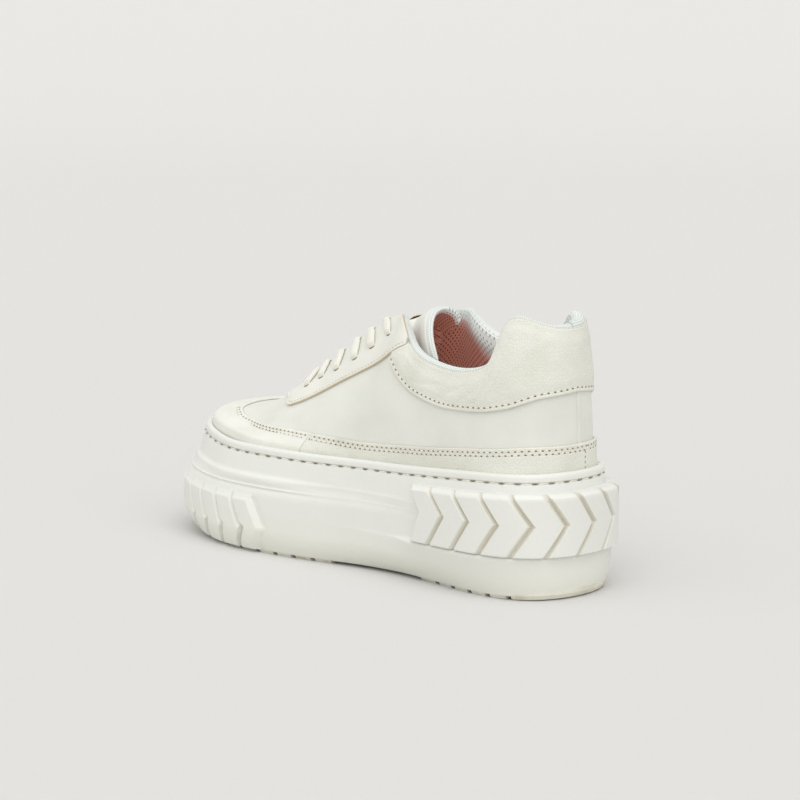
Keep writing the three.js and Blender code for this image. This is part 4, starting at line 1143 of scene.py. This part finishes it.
def beads(spots, along, facing, length, width, height, sides=8, rings=5):    # small rounded bars
    side = np.cross(facing, along)
    t = np.linspace(-1, 1, rings)
    fat = np.sqrt(np.clip(1 - np.abs(t) ** 3, 0.06, 1))
    angle = np.linspace(0, 2 * np.pi, sides, endpoint=False)
    local = np.stack([np.repeat(t, sides) * length / 2, np.outer(fat, np.cos(angle)).ravel() * width / 2,
                      np.outer(fat, np.sin(angle)).ravel() * height / 2], -1)
    axes = np.stack([along, side, facing], 1)
    points = spots[:, None] + np.einsum("pk,nkc->npc", local, axes)
    size = rings * sides
    faces = []
    cell = ringFaces(rings, sides) + [list(range(sides)), [size - sides + i for i in range(sides)]]
    for n in range(len(spots)):
        faces += [[n * size + i for i in face] for face in cell]
    return points.reshape(-1, 3), faces


def seamLine(edge, inset, start, end, lift=1.2, low=True):
    u = np.linspace(start, end, 900)
    v = edge(u)
    scale = sectionScale(np.mod(u, fullTurn), v)
    v = v + (inset / scale if low else -inset / scale)
    base = upperAt(u, v, form["bed"] + lift)
    return base, upperAt(u, v, form["bed"] + lift + 1) - base


class Seams:    # thread is share of pitch, width and height; hole is length, width and height
    def __init__(self):
        self.points, self.faces = {}, {}

    def add(self, kind, points, faces):
        have = self.points.setdefault(kind, [])
        first = sum(len(p) for p in have)
        have.append(points)
        self.faces.setdefault(kind, []).extend([[i + first for i in face] for face in faces])

    def sew(self, path, normals, pitch, thread=(0.6, 0.55, 0.5), hole=(1.25, 0.8, 0.3), shift=0.0,
            sunk=0.12):
        spots, along, facing = evenly(path, normals, pitch, shift)
        self.add("hole", *beads(spots - facing * (sunk - 0.02), along, facing, *hole, sides=8, rings=4))
        spots, along, facing = evenly(path, normals, pitch, shift + pitch / 2)
        length = pitch * thread[0]
        self.add("thread", *beads(spots - facing * sunk, along, facing, length, thread[1], thread[2]))


seams = Seams()


def sewAll():
    c = sewing
    fade = c["toeFade"]
    for number, inset in enumerate(c["guardRows"]):
        for start, end in ((-heelJoin, joinAt - 0.05), (joinAt + 0.05, fade),
                           (fullTurn - fade, fullTurn - joinAt - 0.05),
                           (fullTurn - joinAt + 0.05, fullTurn - heelJoin - 0.03)):
            path, normals = seamLine(guardEdge, inset, start, end, low=False)
            seams.sew(path, normals, c["pitch"], shift=0.6 + number * c["pitch"] / 2)
    path, normals = seamLine(collarEdge, c["collarRow"], -5.0, 5.0)
    seams.sew(path, normals, c["pitch"], thread=(0.62, 0.6, 0.5), hole=(1.4, 0.85, 0.3), shift=0.5)
    path, normals = seamLine(stayEdge, c["stayRow"], 4.72, fullTurn - 4.72)
    seams.sew(path, normals, 2.6, thread=(0.74, 0.6, 0.6), hole=(0.5, 0.45, 0.2), shift=0.5)
    for place in (joinAt - 0.07, 0.07 - heelJoin, fullTurn - joinAt + 0.07):    # upright joins
        v = np.linspace(0.12, float(guardEdge(np.array(place))) - 0.03, 60)
        base = upperAt(place, v, form["bed"] + 1.2)
        seams.sew(base, upperAt(place, v, form["bed"] + 2.2) - base, 2.6, thread=(0.5, 0.5, 0.4),
                  hole=(1.3, 0.8, 0.4), sunk=0.05)


# the line's darker colour is partly the real edge, partly painted shadow in the join
def sewCollarLine():    # thin turned edge between leather and roll
    u = np.linspace(-5.05, 5.05, 1400)
    path = upperAt(u, 0.995, form["bed"] + 0.75)
    normals = upperAt(u, 0.995, form["bed"] + 1.75) - path
    spots, along, facing = evenly(path, normals, 1.5)
    seams.add("line", *beads(spots, along, facing, 1.9, 0.42, 0.42, sides=6, rings=3))


def sewRim():
    u = np.linspace(0, fullTurn, 2400)
    offset, height = levelAt("groove", u)
    path = outlinePoint(u, offset - 0.15, height + 0.02)
    whole = float(runAlongPath(path)[-1])
    pitch = whole / round(whole / 8.3)
    spots, along, facing = evenly(path, outward(u), pitch, 2.0)
    # lens-shaped openings at the ends of each stitch, coloured as painted shadow in the groove
    seams.add("slit", *beads(spots + facing * 0.1, along, facing, 2.9, 0.42, 0.66, sides=10, rings=7))
    spots, along, facing = evenly(path, outward(u), pitch, 2.0 + pitch / 2)
    seams.add("thread", *beads(spots - facing * 0.2, along, facing, 5.4, 0.8, 0.9, sides=10, rings=7))


sewAll()
sewCollarLine()
sewRim()
for kind, name, finish in (("thread", "seamThread", threadLook), ("hole", "needleHoleShadows", holeShadowLook),
                           ("slit", "rimSlits", slitLook), ("line", "collarLine", edgeLineShadeLook)):
    makePiece(name, np.concatenate(seams.points[kind]), seams.faces[kind], [finish])
print("stitching done")

# lace holes: dark slits under each end, painted shadow where each lace goes into its punched hole
punched = {"length": 4.6, "width": 2.2, "height": 0.5, "inset": 0.004}


def buildHoleShadows():
    skin = form["bed"] + form["overlay"]
    u = np.array([place for s in laces["at"] for place in (s, fullTurn - s)])
    v = np.repeat(laces["v"], 2) + punched["inset"]
    spots = upperAt(u, v, skin)
    along = upperAt(u + 0.05, v) - upperAt(u - 0.05, v)
    along /= np.linalg.norm(along, axis=1, keepdims=True)
    points, faces = beads(spots, along, upperAt(u, v, skin + 1) - spots, punched["length"],
                          punched["width"], punched["height"], sides=14, rings=9)
    return makePiece("laceHoleShadows", points, faces, [holeShadowLook])


laceHoleShadows = buildHoleShadows()

# ---- floor, light and camera
stage = {"floor": tone(216, 215, 213), "world": 0.66, "flat": 3.0, "curve": 3.0,
         "lamps": {"front": (1.0, 240, 44, 70), "left": (0.28, 158, 36, 80), "top": (0.6, 226, 76, 60)}}
view = {"azimuth": 226, "elevation": 9, "distance": 1.30, "target": (-0.0084, 0, 0.0825), "lens": 112.3}


def direction(azimuth, elevation):    # from the shoe towards a camera or a lamp
    a, e = math.radians(azimuth), math.radians(elevation)
    return Vector((math.sin(a) * math.cos(e), -math.cos(a) * math.cos(e), math.sin(e)))


def buildFloor():    # a flat floor that curves up into a wall far behind the shoe
    a = math.radians(view["azimuth"])
    ahead, side = np.array([-math.sin(a), math.cos(a)]), np.array([math.cos(a), math.sin(a)])
    profile = [(-8.0, 0.0), (stage["flat"], 0.0)]
    for angle in np.linspace(0, np.pi / 2, 17)[1:]:
        profile.append((stage["flat"] + stage["curve"] * math.sin(angle),
                        stage["curve"] * (1 - math.cos(angle))))
    profile.append((profile[-1][0], 12.0))
    points = []
    for forward, height in profile:
        for across in (-14, 14):
            spot = ahead * forward + side * across
            points.append((spot[0], spot[1], height))
    faces = [[2 * k, 2 * k + 1, 2 * k + 3, 2 * k + 2] for k in range(len(profile) - 1)]
    mesh = bpy.data.meshes.new("floor")
    mesh.from_pydata(points, [], faces)
    mesh.polygons.foreach_set("use_smooth", [True] * len(faces))
    floor = bpy.data.objects.new("floor", mesh)
    bpy.context.scene.collection.objects.link(floor)
    f = Finish("pale floor", 0.9, Specular_IOR_Level=0.1)
    f.shader.inputs["Base Color"].default_value = stage["floor"]
    mesh.materials.append(f.material)


def sunLamp(name, strength, azimuth, elevation, spread):
    lamp = bpy.data.lights.new(name, "SUN")
    lamp.energy, lamp.angle = strength, math.radians(spread)
    made = bpy.data.objects.new(name, lamp)
    bpy.context.scene.collection.objects.link(made)
    made.rotation_euler = direction(azimuth, elevation).to_track_quat("Z", "Y").to_euler()


buildFloor()
world = bpy.data.worlds.new("studio")
bpy.context.scene.world = world
world.use_nodes = True
world.node_tree.nodes["Background"].inputs[0].default_value = (1.0, 0.995, 0.985, 1)
world.node_tree.nodes["Background"].inputs[1].default_value = stage["world"]
for name, lamp in stage["lamps"].items():
    sunLamp(name, *lamp)

camera = bpy.data.cameras.new("camera")
camera.lens, camera.sensor_width = view["lens"], 36
cameraObject = bpy.data.objects.new("camera", camera)
bpy.context.scene.collection.objects.link(cameraObject)
away = direction(view["azimuth"], view["elevation"])
cameraObject.location = Vector(view["target"]) + away * view["distance"]
cameraObject.rotation_euler = away.to_track_quat("Z", "Y").to_euler()
bpy.context.scene.camera = cameraObject
bpy.context.scene.view_settings.view_transform = "Standard"
